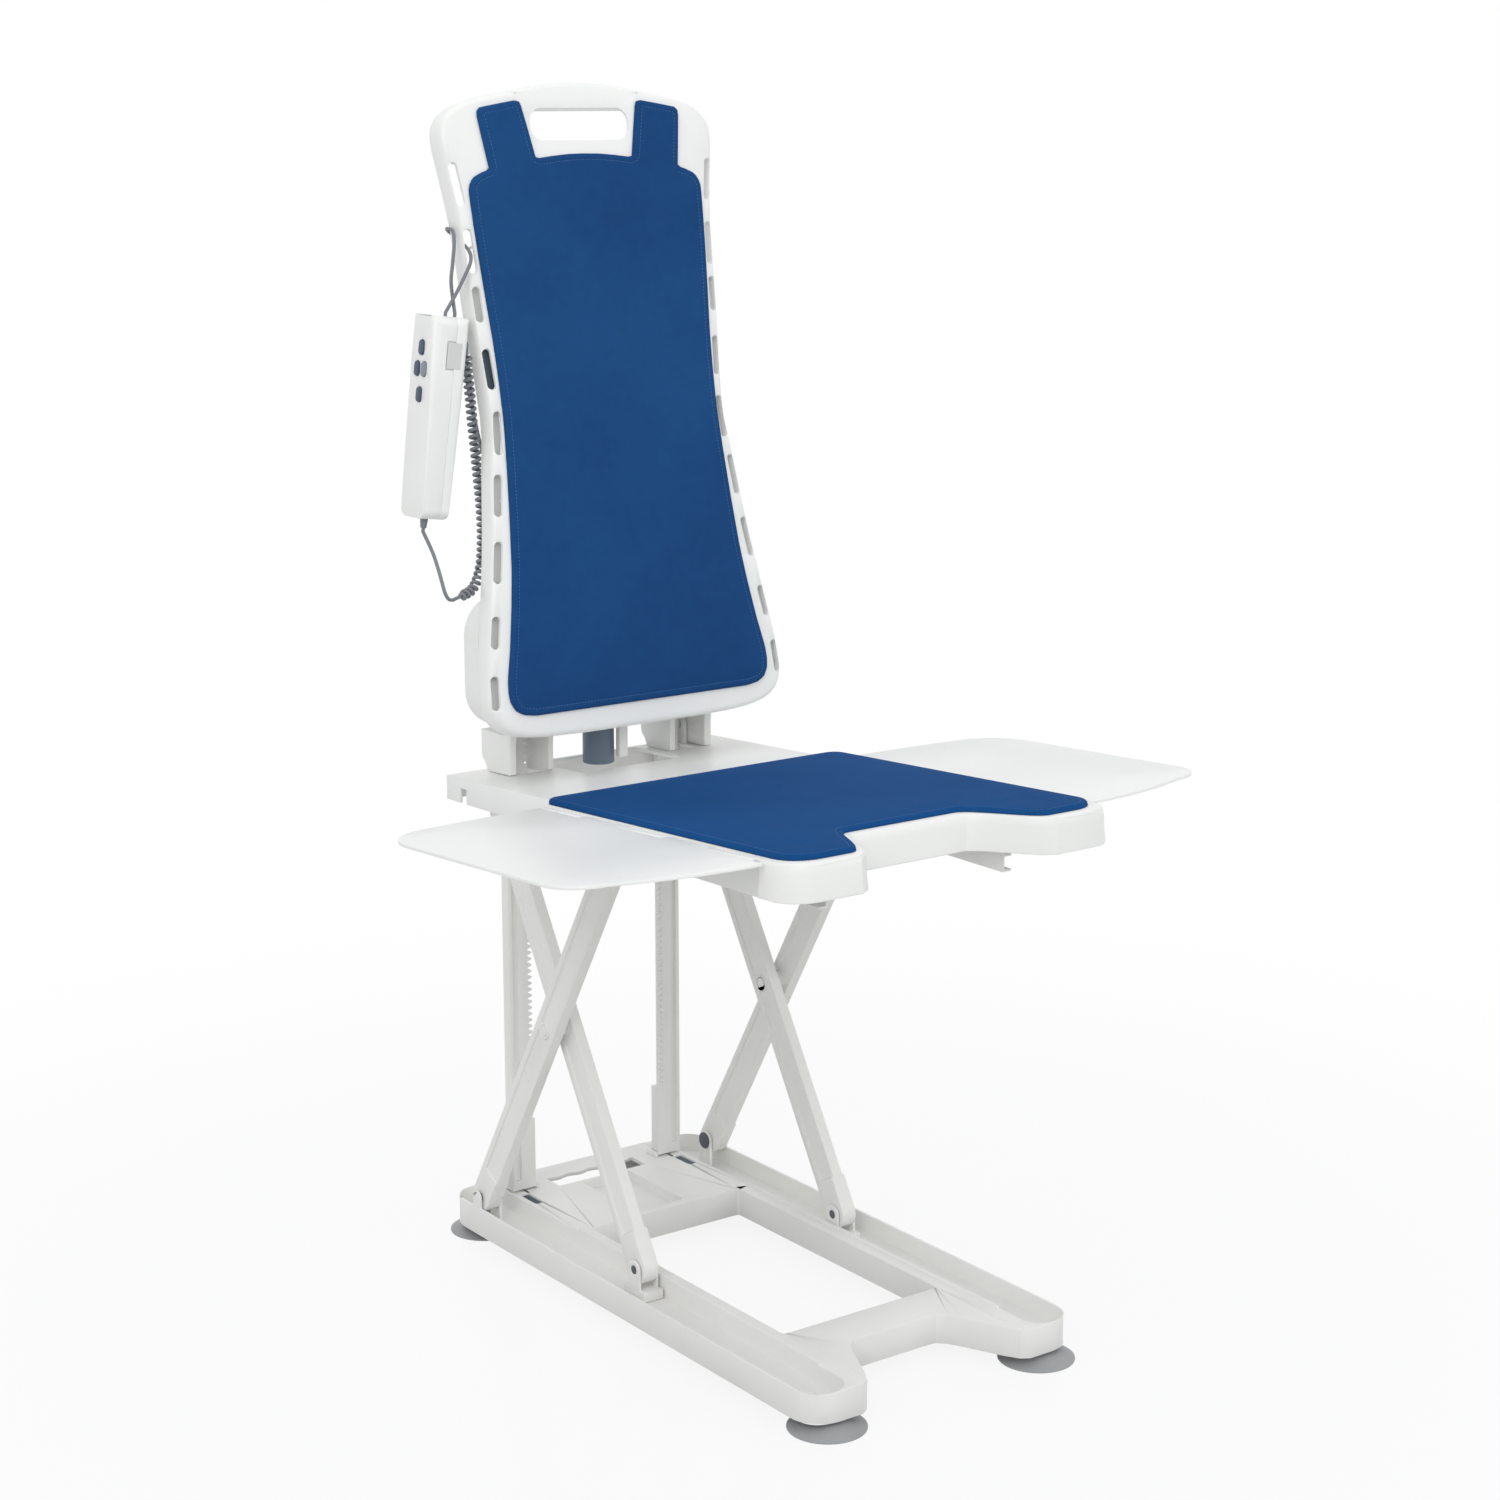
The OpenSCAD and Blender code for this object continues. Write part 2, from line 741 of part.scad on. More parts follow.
module outer_leg(side) {
  color(shade) on_side(side) translate([outer_x, rear_y, low_pivot_z]) rotate([90 - raised_angle, 0, 0])
    leg_bar(false);
}

module inner_leg(side) {
  color(shade) on_side(side) translate([inner_x, front_y, low_pivot_z]) rotate([raised_angle - 90, 0, 0])
    leg_bar(true);
}

module crossing_pins() {
  color(shade) both_sides()
    rod_x(cross_pin_r, inner_x - leg_t / 2, outer_x + leg_t / 2, cross_y, cross_z);
}

module crossing_spacers() {
  color(white) both_sides() difference() {
    rod_x(boss_r - lug_gap, inner_x + leg_t / 2 + near_gap, outer_x - leg_t / 2, cross_y, cross_z);
    rod_x(cross_pin_r, inner_x, outer_x, cross_y, cross_z);
  }
}

module lower_shoe_pins() {
  color(steel) both_sides()
    rod_x(leg_pin_r, inner_x - leg_t / 2 - slide_gap - shoe_wall,
          inner_x + leg_t / 2 + slide_gap + shoe_wall, front_y, low_pivot_z);
}

module lower_shoe(side) {
  in = inner_x - leg_t / 2 - slide_gap;
  out = inner_x + leg_t / 2 + slide_gap;
  low = floor_z + near_gap;
  color(shade) on_side(side) difference() {
    union() {
      box([in - shoe_wall, front_y - shoe_l / 2, low],
          [out + shoe_wall, front_y + shoe_l / 2, low + shoe_top]);
      for (x = [in - shoe_wall, out]) {
        box([x, front_y - shoe_top, low], [x + shoe_wall, front_y + shoe_top, low_pivot_z]);
        rod_x(shoe_top, x, x + shoe_wall, front_y, low_pivot_z);
      }
    }
    rod_x(leg_bore, in - leg_t, out + leg_t, front_y, low_pivot_z);
  }
}

module upper_shoe_pins() {
  color(steel) both_sides()
    rod_x(leg_pin_r, rail_back + rail_t + 2 * near_gap, outer_x + leg_t / 2, front_y, high_pivot_z);
}

module upper_shoe(side) {
  color(dark) on_side(side) difference() {
    box([rail_back + rail_t + near_gap, front_y - upper_shoe_l / 2, high_pivot_z - upper_shoe_h / 2],
        [rail_edge, front_y + upper_shoe_l / 2, high_pivot_z + upper_shoe_h / 2]);
    rod_x(leg_bore, 0, outer_x, front_y, high_pivot_z);
  }
}

// Seat
module seat_plan() {
  side_y = lip_side - seat_front;
  difference() {
    union() {
      translate([-seat_hw, side_y - over]) square([2 * seat_hw, strip_front - side_y + over]);
      round_rect([-lip_hw, -seat_front], [lip_hw, side_y + lip_corner], lip_corner);
      translate([-strip_hw, 0]) square([2 * strip_hw, seat_rear]);
    }
    notch_cut(seat_front, lip_flat, lip_out, recess_d);
  }
}

module seat_hollow_plan() {
  side_y = lip_side - seat_front;
  translate([-seat_hw + plate_lap + skirt_t, side_y - over])
    square([2 * (seat_hw - plate_lap - skirt_t), strip_front - skirt_t - side_y + over]);
  translate([-lip_hw - over, -seat_front - lip_h]) square([2 * (lip_hw + over), lip_side + lip_h]);
  translate([-strip_hw + skirt_t, 0]) square([2 * (strip_hw - skirt_t), seat_rear - skirt_t]);
  for (x = [-lip_hw - over, seat_hw - plate_lap])
    translate([x, side_y - over])
      square([lip_hw + over - seat_hw + plate_lap, strip_front - side_y + 2 * over]);
}

module under_slope(drop) {
  reach = seat_front + lip_h;
  along_x(-lip_hw - over, lip_hw + over)
    polygon([[-reach, 0], [reach, 0], [reach, slope_z(reach) - drop], [-reach, slope_z(-reach) - drop]]);
}

module above_skirt() {
  reach = seat_front + lip_h;
  along_x(-lip_hw - over, lip_hw + over)
    polygon([[-reach, seat_z * 2], [reach, seat_z * 2], [reach, skirt_z(reach)], [-reach, skirt_z(-reach)]]);
}

// Front lip: a wall under the front edge, which follows the corners and the recess
lip_turn = 15;
lip_path = concat(
  [[-lip_hw, lip_side - seat_front - over]],
  [for (a = [0:lip_turn:90 - lip_turn])
    [-lip_hw + lip_corner * (1 - cos(a)), -seat_front + lip_corner * (1 - sin(a))]],
  [for (i = [-notch_steps:notch_steps])
    let (x = lip_out * i / notch_steps) [x, -seat_front + recess(x, lip_flat, lip_out, recess_d)]],
  [for (a = [90 - lip_turn:-lip_turn:0])
    [lip_hw - lip_corner * (1 - cos(a)), -seat_front + lip_corner * (1 - sin(a))]],
  [[lip_hw, lip_side - seat_front - over]]
);
lip_section_shares = [
  [0.16, 0.025], [0.03, 0.025], [-0.03, 0.06], [-0.06, 0.25], [-0.08, 0.6], [-0.12, 0.95],
  [-0.12, 1], [-0.03, 1], [0.01, 0.6], [0.03, 0.25], [0.04, 0.085], [0.16, 0.085]
];

module front_lip() {
  n = len(lip_section_shares);
  cols = len(lip_path);
  points = [
    for (i = [0:cols - 1])
      let (p = lip_path[i], top = slope_z(p[1]),
           d = unit(lip_path[min(i + 1, cols - 1)] - lip_path[max(i - 1, 0)]))
        for (q = lip_section_shares)
          [p[0] - d[1] * q[0] * lip_h, p[1] + d[0] * q[0] * lip_h, top - q[1] * lip_h]
  ];
  walls = [
    for (i = [0:cols - 2]) for (k = [0:n - 1])
      let (a = i * n + k, b = i * n + (k + 1) % n, c = a + n, d = b + n) each [[a, d, b], [a, c, d]]
  ];
  ends = [[for (k = [0:n - 1]) k], [for (k = [n - 1:-1:0]) (cols - 1) * n + k]];
  polyhedron(points, concat(walls, ends), convexity = 6);
}

module seat_shell() {
  lug_in = inner_x - leg_t / 2 - lug_gap - seat_lug_t;
  eye_in = bracket_out() - cheek_t - lug_gap - seat_lug_t;
  eye_low = slope_z(hinge_y + hinge_r) - seat_t / 2;
  color(white) difference() {
    union() {
      difference() {
        intersection() {
          linear_extrude(seat_z * 2) seat_plan();
          under_slope(0);
          above_skirt();
        }
        intersection() {
          linear_extrude(seat_z * 2) seat_hollow_plan();
          under_slope(seat_t);
        }
      }
      front_lip();
      both_sides() {
        intersection() {
          box([lug_in, rear_y - lug_r, high_pivot_z - lug_r],
              [lug_in + seat_lug_t, rear_y + lug_r, seat_z]);
          under_slope(seat_t / 2);
        }
        box([eye_in, hinge_y - hinge_r, eye_low], [eye_in + seat_lug_t, hinge_y + hinge_r, hinge_z]);
        rod_x(hinge_r, eye_in, eye_in + seat_lug_t, hinge_y, hinge_z);
        seat_knuckles();
      }
    }
    both_sides() {
      box([tooth_tip - side_gap * 3, hinge_y - window_ahead, 0],
          [rack_out + side_gap, hinge_y + window_behind, seat_z]);
      rod_x(leg_pin_r, lug_in - over, inner_x, rear_y, high_pivot_z);
      rod_x(hinge_pin_r, eye_in - over, eye_in + seat_lug_t + over, hinge_y, hinge_z);
      box([strip_hw - skirt_t - over, rear_y - skirt_notch_w / 2, 0],
          [strip_hw + over, rear_y + skirt_notch_w / 2, high_pivot_z + skirt_notch_rise]);
      flap_bore();
    }
    box([-centre_window_hw, hinge_y - centre_window_ahead, 0],
        [centre_window_hw, hinge_y + window_behind, seat_z]);
  }
}

// Rails of the upper shoes: channels open to the legs, hung from the seat plate by a web
module seat_rail(side) {
  low = high_pivot_z - rail_h / 2;
  high = high_pivot_z + rail_h / 2;
  web = rail_back + rail_t;
  color(shade) on_side(side) intersection() {
    along_y(rail_front, front_y + upper_shoe_l) polygon([
      [rail_back, low], [rail_edge, low], [rail_edge, low + rail_t], [web, low + rail_t],
      [web, high - rail_t], [rail_edge, high - rail_t], [rail_edge, high], [web, high],
      [web, seat_z * 2], [rail_back, seat_z * 2]
    ]);
    under_slope(seat_t);
  }
}

module seat_pins() {
  color(steel) both_sides()
    rod_x(leg_pin_r, inner_x - leg_t / 2 - lug_gap - seat_lug_t, inner_x + leg_t / 2, rear_y, high_pivot_z);
}

function seat_pad_point(u, v) =
  let (x = pad_hw * (2 * u - 1), side = max(0, abs(x) - pad_hw + pad_corner) / pad_corner,
       round_in = pad_corner * (1 - sqrt(max(0, 1 - side * side))),
       rear = pad_rear - round_in / 2,
       front = pad_margin - seat_front + recess(x, lip_flat, lip_out, recess_d) + round_in)
    [x, rear + (front - rear) * v, 0];

module seat_pad() {
  rows = 16;
  grid = [for (i = [0:rows - 1]) for (j = [0:pad_cols * 2])
    let (u = j / (pad_cols * 2), v = i / (rows - 1), p = seat_pad_point(u, v))
      [p[0], p[1], slope_z(p[1]) + near_gap / 2, crowned(u, v)]];
  front = [for (p = grid) [p[0], p[1], p[2] + p[3]]];
  back = [for (p = grid) [p[0], p[1], p[2]]];
  color(blue) padded_sheet(front, back, rows, pad_cols * 2 + 1);
}

// Side flaps and their hinges; the hinge line follows the seat's slope
module on_slope() {
  translate([0, 0, seat_z]) rotate([-seat_slope, 0, 0]) children();
}

function knuckle_start(i) = knuckle_from + knuckle_run * i / knuckle_n;

module knuckle(i) {
  gap = i == 0 ? 0 : near_gap;
  along_y(knuckle_start(i) + gap, knuckle_start(i + 1))
    translate([flap_axis_x, -flap_drop]) circle(knuckle_r);
}

module seat_knuckles() {
  on_slope() for (i = [0:2:knuckle_n - 1]) {
    knuckle(i);
    box([seat_hw - skirt_t * 2, knuckle_start(i) + near_gap, -flap_drop - knuckle_r / 2],
        [flap_axis_x, knuckle_start(i + 1), -flap_drop + knuckle_r / 2]);
  }
}

module flap_bore() {
  on_slope()
    rod_y(flap_pin_r, knuckle_start(0) - over, knuckle_start(knuckle_n) + over, flap_axis_x, -flap_drop);
}

module flap_plan() {
  inner = flap_axis_x + knuckle_r + flap_space;
  outer = flap_axis_x + flap_w;
  front = flap_rear - flap_l;
  arc = [for (a = [0:flap_turn:90]) [sin(a), 1 - cos(a)]];
  bow = [for (i = [0:flap_steps - 1]) i / flap_steps];
  front_run = outer - flap_corner - inner;
  rear_run = outer - flap_rear_corner - inner;
  rear_mid = flap_rear - flap_rear_skew;
  polygon(concat(
    [for (t = bow) [inner + front_run * t, front + flap_skew * t * t]],
    [for (p = arc) [outer - flap_corner + flap_corner * p[0], front + flap_skew + flap_corner * p[1]]],
    [for (k = [len(arc) - 1:-1:0]) let (p = arc[k])
      [outer - flap_rear_corner + flap_rear_corner * p[0], rear_mid - flap_rear_corner * p[1]]],
    [for (k = [flap_steps - 1:-1:0]) let (t = bow[k])
      [inner + rear_run * t, flap_rear - flap_rear_skew * t * t]]
  ));
}

module flap(side) {
  inner = flap_axis_x + knuckle_r + flap_space;
  outer = flap_axis_x + flap_w - flap_corner;
  color(white) on_side(side) on_slope() difference() {
    union() {
      translate([0, 0, flap_top - flap_drop - flap_t]) linear_extrude(flap_t) flap_plan();
      for (i = [1:2:knuckle_n - 1]) {
        knuckle(i);
        box([flap_axis_x, knuckle_start(i) + near_gap, flap_top - flap_drop - flap_t],
            [inner + over, knuckle_start(i + 1), -flap_drop + flap_top]);
      }
      for (i = [1:4])
        box([inner, knuckle_start(i) - flap_rib_t / 2, flap_top - flap_drop - flap_t - flap_rib_h],
            [outer, knuckle_start(i) + flap_rib_t / 2, flap_top - flap_drop - flap_t / 2]);
    }
    rod_y(flap_pin_r + run_gap, -base_l, base_l, flap_axis_x, -flap_drop);
  }
}

module flap_pins() {
  color(steel) both_sides() on_slope()
    rod_y(flap_pin_r, knuckle_start(0), knuckle_start(knuckle_n), flap_axis_x, -flap_drop);
}

// Backrest shell
back_points = [for (p = back_outline_shares) [p[0] * back_w / 2, back_foot + p[1] * back_h]];
back_side = curve(back_points, outline_steps);
back_loop = concat(back_side, [for (i = [len(back_side) - 2:-1:1]) [-back_side[i][0], back_side[i][1]]]);
back_n = len(back_loop);
function back_in(i) =
  let (d = unit(back_loop[(i + 1) % back_n] - back_loop[(i + back_n - 1) % back_n])) [-d[1], d[0]];
function back_half(s) =
  lookup(s, [for (p = back_side) if (p[1] > back_foot + back_h / 40 && p[1] < grip_s) [p[1], p[0]]]);

module rim() {
  n = len(rim_section_shares);
  points = [
    for (i = [0:back_n - 1]) for (p = rim_section_shares)
      let (q = back_loop[i] + back_in(i) * p[0] * rim_w) [q[0], panel_off + p[1] * rim_d, q[1]]
  ];
  faces = [
    for (i = [0:back_n - 1]) for (k = [0:n - 1])
      let (here = i * n, next = ((i + 1) % back_n) * n, turn = (k + 1) % n)
        each [[here + k, next + turn, here + turn], [here + k, next + k, next + turn]]
  ];
  polyhedron(points, faces, convexity = 8);
}

module rim_slot(place, length) {
  s = back_foot + back_h * place;
  slope = atan2(back_half(s + slot_w) - back_half(s - slot_w), 2 * slot_w);
  both_sides() translate([back_half(s) - slot_inset, 0, s]) rotate([0, slope, 0])
    along_y(-rim_d, rim_d * 2)
      round_rect([-slot_w / 2, -length / 2], [slot_w / 2, length / 2], slot_w / 2 - run_gap);
}

module backrest_shell() {
  bar_low = grip_s + grip_h / 2;
  color(white) at_back() difference() {
    union() {
      rim();
      along_y(panel_off, panel_off + panel_t)
        polygon([for (i = [0:back_n - 1]) back_loop[i] + back_in(i) * rim_w * 3 / 4]);
      along_y(panel_off, panel_off + grip_bar_d)
        round_rect([-grip_l / 2 - grip_bar_t, bar_low],
                   [grip_l / 2 + grip_bar_t, bar_low + grip_bar_t], grip_bar_t / 3);
      along_y(panel_off, panel_off + grip_bar_d)
        round_rect([-grip_l / 2 - grip_bar_t, bar_low - grip_h - panel_t],
                   [grip_l / 2 + grip_bar_t, bar_low - grip_h], panel_t / 3);
    }
    along_y(-rim_d, rim_d * 2)
      round_rect([-grip_l / 2, grip_s - grip_h / 2], [grip_l / 2, grip_s + grip_h / 2], grip_corner);
    for (i = [0:len(slot_place_shares) - 1])
      rim_slot(slot_place_shares[i], slot_length_shares[i] * back_h);
  }
}

pad_h = pad_top - pad_foot;
pad_side_table = [for (p = pad_width_shares) [p[0], p[1] * pad_back_hw]];
function pad_half(t) = lookup(t, pad_side_table);

module backrest_pad() {
  last_share = pad_width_shares[len(pad_width_shares) - 1][0];
  grid = [for (i = [0:pad_rows - 1]) for (j = [0:pad_cols])
    let (v = i / (pad_rows - 1), u = j / pad_cols, w = pad_half(v * last_share),
         s = pad_foot + pad_h * v * last_share + (v == 1 ? pad_head_rise * cos(90 * (2 * u - 1)) : 0))
      [w * (1 - 2 * u), s, crowned(u, v)]];
  front = [for (p = grid) [p[0], panel_off - near_gap / 2 - p[2], p[1]]];
  back = [for (p = grid) [p[0], panel_off - near_gap / 2, p[1]]];
  color(blue) at_back() {
    padded_sheet(front, back, pad_rows, pad_cols + 1);
    both_sides() pad_strap();
  }
}

module pad_strap() {
  rows = 8;
  cols = 7;
  grid = [for (i = [0:rows - 1]) for (j = [0:cols - 1])
    let (v = i / (rows - 1), u = j / (cols - 1),
         x = strap_in_low + (strap_in_high - strap_in_low) * v + strap_w * (1 - u))
      [x, strap_low + (strap_high - strap_low - strap_tilt * (1 / 2 - u)) * v,
       pad_t * (1 - pad_crown_share * (2 - crown(u, min(v + 1 / 2, 1), strap_edge)))]];
  front = [for (p = grid) [p[0], panel_off - near_gap / 2 - p[2], p[1]]];
  back = [for (p = grid) [p[0], panel_off - near_gap / 2, p[1]]];
  padded_sheet(front, back, rows, cols);
}

// Hinge brackets: two cheeks and a plate that the rack runs through
function bracket_in() = tooth_tip - foot_lap - slide_gap - inner_cheek_t;
function bracket_out() = rack_out + slide_gap + cheek_t * 2;

module cheek_profile() {
  top = drive_low - near_gap;
  web_rear = drive_front - near_gap;
  front = hinge_y - cheek_ahead;
  arch_z = hinge_z + arch_rise;
  polygon(concat(
    [
      [panel_y(web_high), web_high], [web_rear, web_high], [web_rear, top], [hinge_y + hinge_r, top],
      [hinge_y + hinge_r, hinge_z], [hinge_y, slope_z(hinge_y) + slide_gap],
      [front, slope_z(front) + slide_gap]
    ],
    [for (a = [0:arch_turn:90]) [front - arch_r * (1 - cos(a)), arch_z + arch_r * sin(a)]],
    [[panel_y(arch_z + arch_r), arch_z + arch_r]]
  ));
  translate([hinge_y, hinge_z]) circle(hinge_r);
}

module hinge_bracket(side) {
  top = drive_low - near_gap;
  color(white) on_side(side) difference() {
    union() {
      along_x(bracket_in(), bracket_in() + inner_cheek_t) cheek_profile();
      along_x(bracket_out() - cheek_t, bracket_out()) cheek_profile();
      box([bracket_in(), hinge_y - hinge_r - slide_gap, top - inner_cheek_t],
          [bracket_out(), hinge_y + hinge_r, top]);
    }
    box([tooth_tip - slide_gap, rack_y - rack_t / 2 - slide_gap, 0],
        [rack_out + slide_gap, rack_y + rack_t / 2 + slide_gap, seat_z * 2]);
    rod_x(hinge_pin_r + run_gap, bracket_out() - cheek_t - over, bracket_out() - over, hinge_y, hinge_z);
  }
}

module recline_pins() {
  color(steel) both_sides()
    rod_x(hinge_pin_r, bracket_out() - cheek_t - lug_gap - seat_lug_t, bracket_out() - 2 * over,
          hinge_y, hinge_z);
}

// Drive housing
module drive_outline(inset) {
  round_rect([-drive_hw + inset, drive_low + inset], [drive_hw - inset, drive_low + drive_h - inset],
             drive_corner - inset);
}

module screw_places() {
  for (x = [-1, 1]) for (z = [screw_low, drive_h - screw_high])
    translate([x * (drive_hw - screw_in), 0, drive_low + z]) children();
}

module bush_seat(y0, y1) {
  both_sides() rod_y(shaft_r + bush_wall * 2, y0, y1, pinion_x, pinion_z);
}

module bush_hole(y0, y1) {
  both_sides() rod_y(shaft_r + bush_wall, y0, y1, pinion_x, pinion_z);
}

module drive_front_cover() {
  color(white) difference() {
    union() {
      difference() {
        along_y(drive_front, drive_split) drive_outline(0);
        along_y(drive_front + drive_wall, drive_split + over) drive_outline(drive_wall);
      }
      bush_seat(drive_front, drive_front + bush_l);
      box([post_in, drive_front - post_d, slope_z(drive_front - post_d) + 2 * slide_gap],
          [post_in + post_w, drive_front + over, drive_low + post_lap]);
      screw_places() rod_y(screw_r * 2, drive_front, drive_split, 0, 0);
    }
    bush_hole(drive_front + drive_wall / 2, drive_split);
    screw_places() rod_y(screw_r, drive_front + drive_wall, drive_split + over, 0, 0);
    translate([0, worm_y, drive_low - over])
      cylinder(r = motor_shaft_r + slide_gap, h = drive_wall + 2 * over);
  }
}

module drive_rear_cover() {
  color(white) difference() {
    union() {
      difference() {
        along_y(drive_split, drive_rear) drive_outline(0);
        along_y(drive_split - over, drive_rear - drive_wall) drive_outline(drive_wall);
      }
      bush_seat(drive_rear - bush_l, drive_rear);
      screw_places() rod_y(screw_r * 2, drive_split, drive_rear, 0, 0);
    }
    bush_hole(drive_split, drive_rear - drive_wall / 2);
    screw_places() {
      rod_y(screw_r, drive_split - over, drive_rear + over, 0, 0);
      rod_y(screw_head_r + near_gap, drive_rear - screw_head_t, drive_rear + over, 0, 0);
    }
    both_sides()
      box([tooth_tip - slide_gap, rack_y - rack_t / 2 - slide_gap, drive_low - over],
          [rack_out + slide_gap, rack_y + rack_t / 2 + slide_gap, drive_low + drive_h + over]);
    cord_exit();
  }
}

module cover_screws() {
  color(steel) screw_places() {
    rod_y(screw_r, drive_front + drive_wall, drive_rear - screw_head_t, 0, 0);
    rod_y(screw_head_r, drive_rear - screw_head_t, drive_rear, 0, 0);
  }
}

module shaft_bushes() {
  color(brass) both_sides() for (end = [0, 1]) {
    y0 = end == 0 ? drive_front + drive_wall / 2 : drive_rear - bush_l;
    y1 = end == 0 ? drive_front + bush_l : drive_rear - drive_wall / 2;
    difference() {
      rod_y(shaft_r + bush_wall, y0, y1, pinion_x, pinion_z);
      rod_y(shaft_r + run_gap, y0 - over, y1 + over, pinion_x, pinion_z);
    }
  }
}

module motor() {
  top = drive_low;
  color(dark) translate([0, worm_y, 0]) {
    translate([0, 0, motor_low]) cylinder(r = motor_r, h = top - motor_low);
    translate([0, 0, top - motor_flange_t]) cylinder(r = motor_flange_r, h = motor_flange_t);
    translate([0, 0, top - over]) cylinder(r = motor_shaft_r, h = pinion_z - worm_l / 2 - top + over);
  }
}

module worm() {
  color(steel) translate([0, worm_y, pinion_z - worm_l / 2])
    linear_extrude(worm_l, twist = -360 * worm_turns, slices = worm_turns * worm_slices)
      translate([worm_ecc, 0]) circle(worm_r - worm_ecc, $fn = worm_sides);
}

// Involute pinion and the rack it drives
function involute(a) = tan(a) - a * PI / 180;
pitch_thick = PI * rack_m / 2 - backlash / 2;
base_circle = pinion_r * cos(pressure);
function tooth_half(r) =
  (pitch_thick / (2 * pinion_r) + involute(pressure) - involute(acos(min(1, base_circle / r)))) * 180 / PI;

module pinion_profile() {
  root = pinion_r - rack_m * root_share;
  tip = pinion_r + rack_m * tip_share;
  radii = [root, base_circle, (base_circle + pinion_r) / 2, pinion_r, (pinion_r + tip) / 2, tip];
  polygon([
    for (i = [0:pinion_teeth - 1]) let (mid = 360 * i / pinion_teeth)
      each concat(
        [for (r = radii) let (a = mid - tooth_half(r)) [r * cos(a), r * sin(a)]],
        [for (k = [len(radii) - 1:-1:0])
          let (r = radii[k], a = mid + tooth_half(r)) [r * cos(a), r * sin(a)]]
      )
  ]);
}

module pinion(side) {
  phase = 180 / pinion_teeth;
  color(steel) on_side(side) {
    along_y(rack_y - rack_t / 2, rack_y + rack_t / 2)
      translate([pinion_x, pinion_z]) rotate(phase) pinion_profile();
    rod_y(shaft_r, drive_front + drive_wall / 2 + near_gap, drive_rear - drive_wall / 2 - near_gap,
          pinion_x, pinion_z);
  }
}

module worm_wheel(side) {
  root = wheel_tip - wheel_depth;
  step = 360 / wheel_teeth;
  tooth_shares = [[-0.36, 0], [-0.16, 1], [0.16, 1], [0.36, 0]];
  color(brass) on_side(side) difference() {
    along_y(wheel_y - wheel_t / 2, wheel_y + wheel_t / 2) translate([pinion_x, pinion_z]) polygon([
      for (i = [0:wheel_teeth - 1]) for (p = tooth_shares)
        let (a = step * (i + p[0]), r = root + wheel_depth * p[1]) [r * cos(a), r * sin(a)]
    ]);
    rod_y(shaft_r, wheel_y - wheel_t, wheel_y + wheel_t, pinion_x, pinion_z);
  }
}

module rack(side) {
  pitch = PI * rack_m;
  root = rack_pitch_x + rack_m * root_share;
  flank = tan(pressure);
  half_pitch = pitch_thick / 2;
  first = -floor((pinion_z - foot_top_z) / pitch) + 1;
  last = floor((rack_top_z - pinion_z) / pitch - 1 / 2);
  front = rack_y - rack_t / 2;
  color(shade) on_side(side) difference() {
    union() {
      along_y(front, front + tooth_face) polygon(concat(
        [[rack_out, rack_top_z], [rack_out, rack_foot_z], [root, rack_foot_z]],
        [for (i = [first:last]) let (z = pinion_z + i * pitch) each [
          [root, z - half_pitch - (root - rack_pitch_x) * flank],
          [tooth_tip, z - half_pitch + rack_m * flank],
          [tooth_tip, z + half_pitch - rack_m * flank],
          [root, z + half_pitch + (root - rack_pitch_x) * flank]
        ]],
        [[root, rack_top_z]]
      ));
      box([root, front, rack_foot_z], [rack_out, front + rack_t, rack_top_z]);
      box([tooth_tip - foot_lap, front, rack_foot_z], [rack_out, front + rack_t + foot_lap, foot_top_z]);
    }
    box([rack_out - rack_groove_in, front - over, rack_foot_z + rack_groove_in],
        [rack_out - rack_groove_in + rack_groove_w, front + rack_groove_d, rack_top_z + over]);
  }
}

// Handset: two shells, their buttons and what they hold
module handset_block(inset) {
  high = handset_d / 2 - inset;
  low = handset_low_d / 2 - inset;
  end = handset_h / 2 - inset;
  intersection() {
    linear_extrude(2 * end, center = true)
      round_rect([-high, -handset_w / 2 + inset], [high, handset_w / 2 - inset],
                 handset_corner - inset);
    along_y(-handset_w, handset_w) polygon([[-low, -end], [low, -end], [high, end], [-high, end]]);
    along_x(-handset_d, handset_d)
      round_rect([-handset_w / 2 + inset, -end], [handset_w / 2 - inset, end], handset_end_r - inset);
  }
}

module handset_half(low, high) {
  intersection() {
    difference() {
      handset_block(0);
      handset_block(handset_wall);
    }
    box([low, -handset_w, -handset_h], [high, handset_w, handset_h]);
  }
}

function button_place(i) =
  i == 0 ? [0, button_rows[0]] : i == 1 ? [button_side, button_rows[1]] :
  i == 2 ? [-button_side, button_rows[1]] : [0, button_rows[2]];
function face_x(z) = -(handset_d + handset_low_d) / 4 - (handset_d - handset_low_d) / 2 * z / handset_h;

module button_bar(i, x0, x1, gap) {
  p = button_place(i);
  along_x(x0, x1) round_rect([p[0] - button_w / 2 - gap, p[1] - button_h / 2 - gap],
    [p[0] + button_w / 2 + gap, p[1] + button_h / 2 + gap], button_corner);
}

module handset_button_shell() {
  color(white) at_handset() difference() {
    handset_half(-handset_d, handset_split);
    for (i = [0:3])
      button_bar(i, -handset_d, face_x(button_rows[2]) + handset_wall + over, near_gap);
    handset_gland_hole();
    box([handset_split - recess_size[0], -handset_w / 2 - over, recess_rise - recess_size[2] / 2],
        [handset_split + over, -handset_w / 2 + recess_size[1], recess_rise + recess_size[2] / 2]);
  }
}

module handset_back_shell() {
  color(white) at_handset() difference() {
    handset_half(handset_split, handset_d);
    handset_gland_hole();
  }
}

module handset_gland_hole() {
  translate([0, 0, -handset_h]) cylinder(r = gland_r, h = handset_h / 2 + handset_wall + over);
}

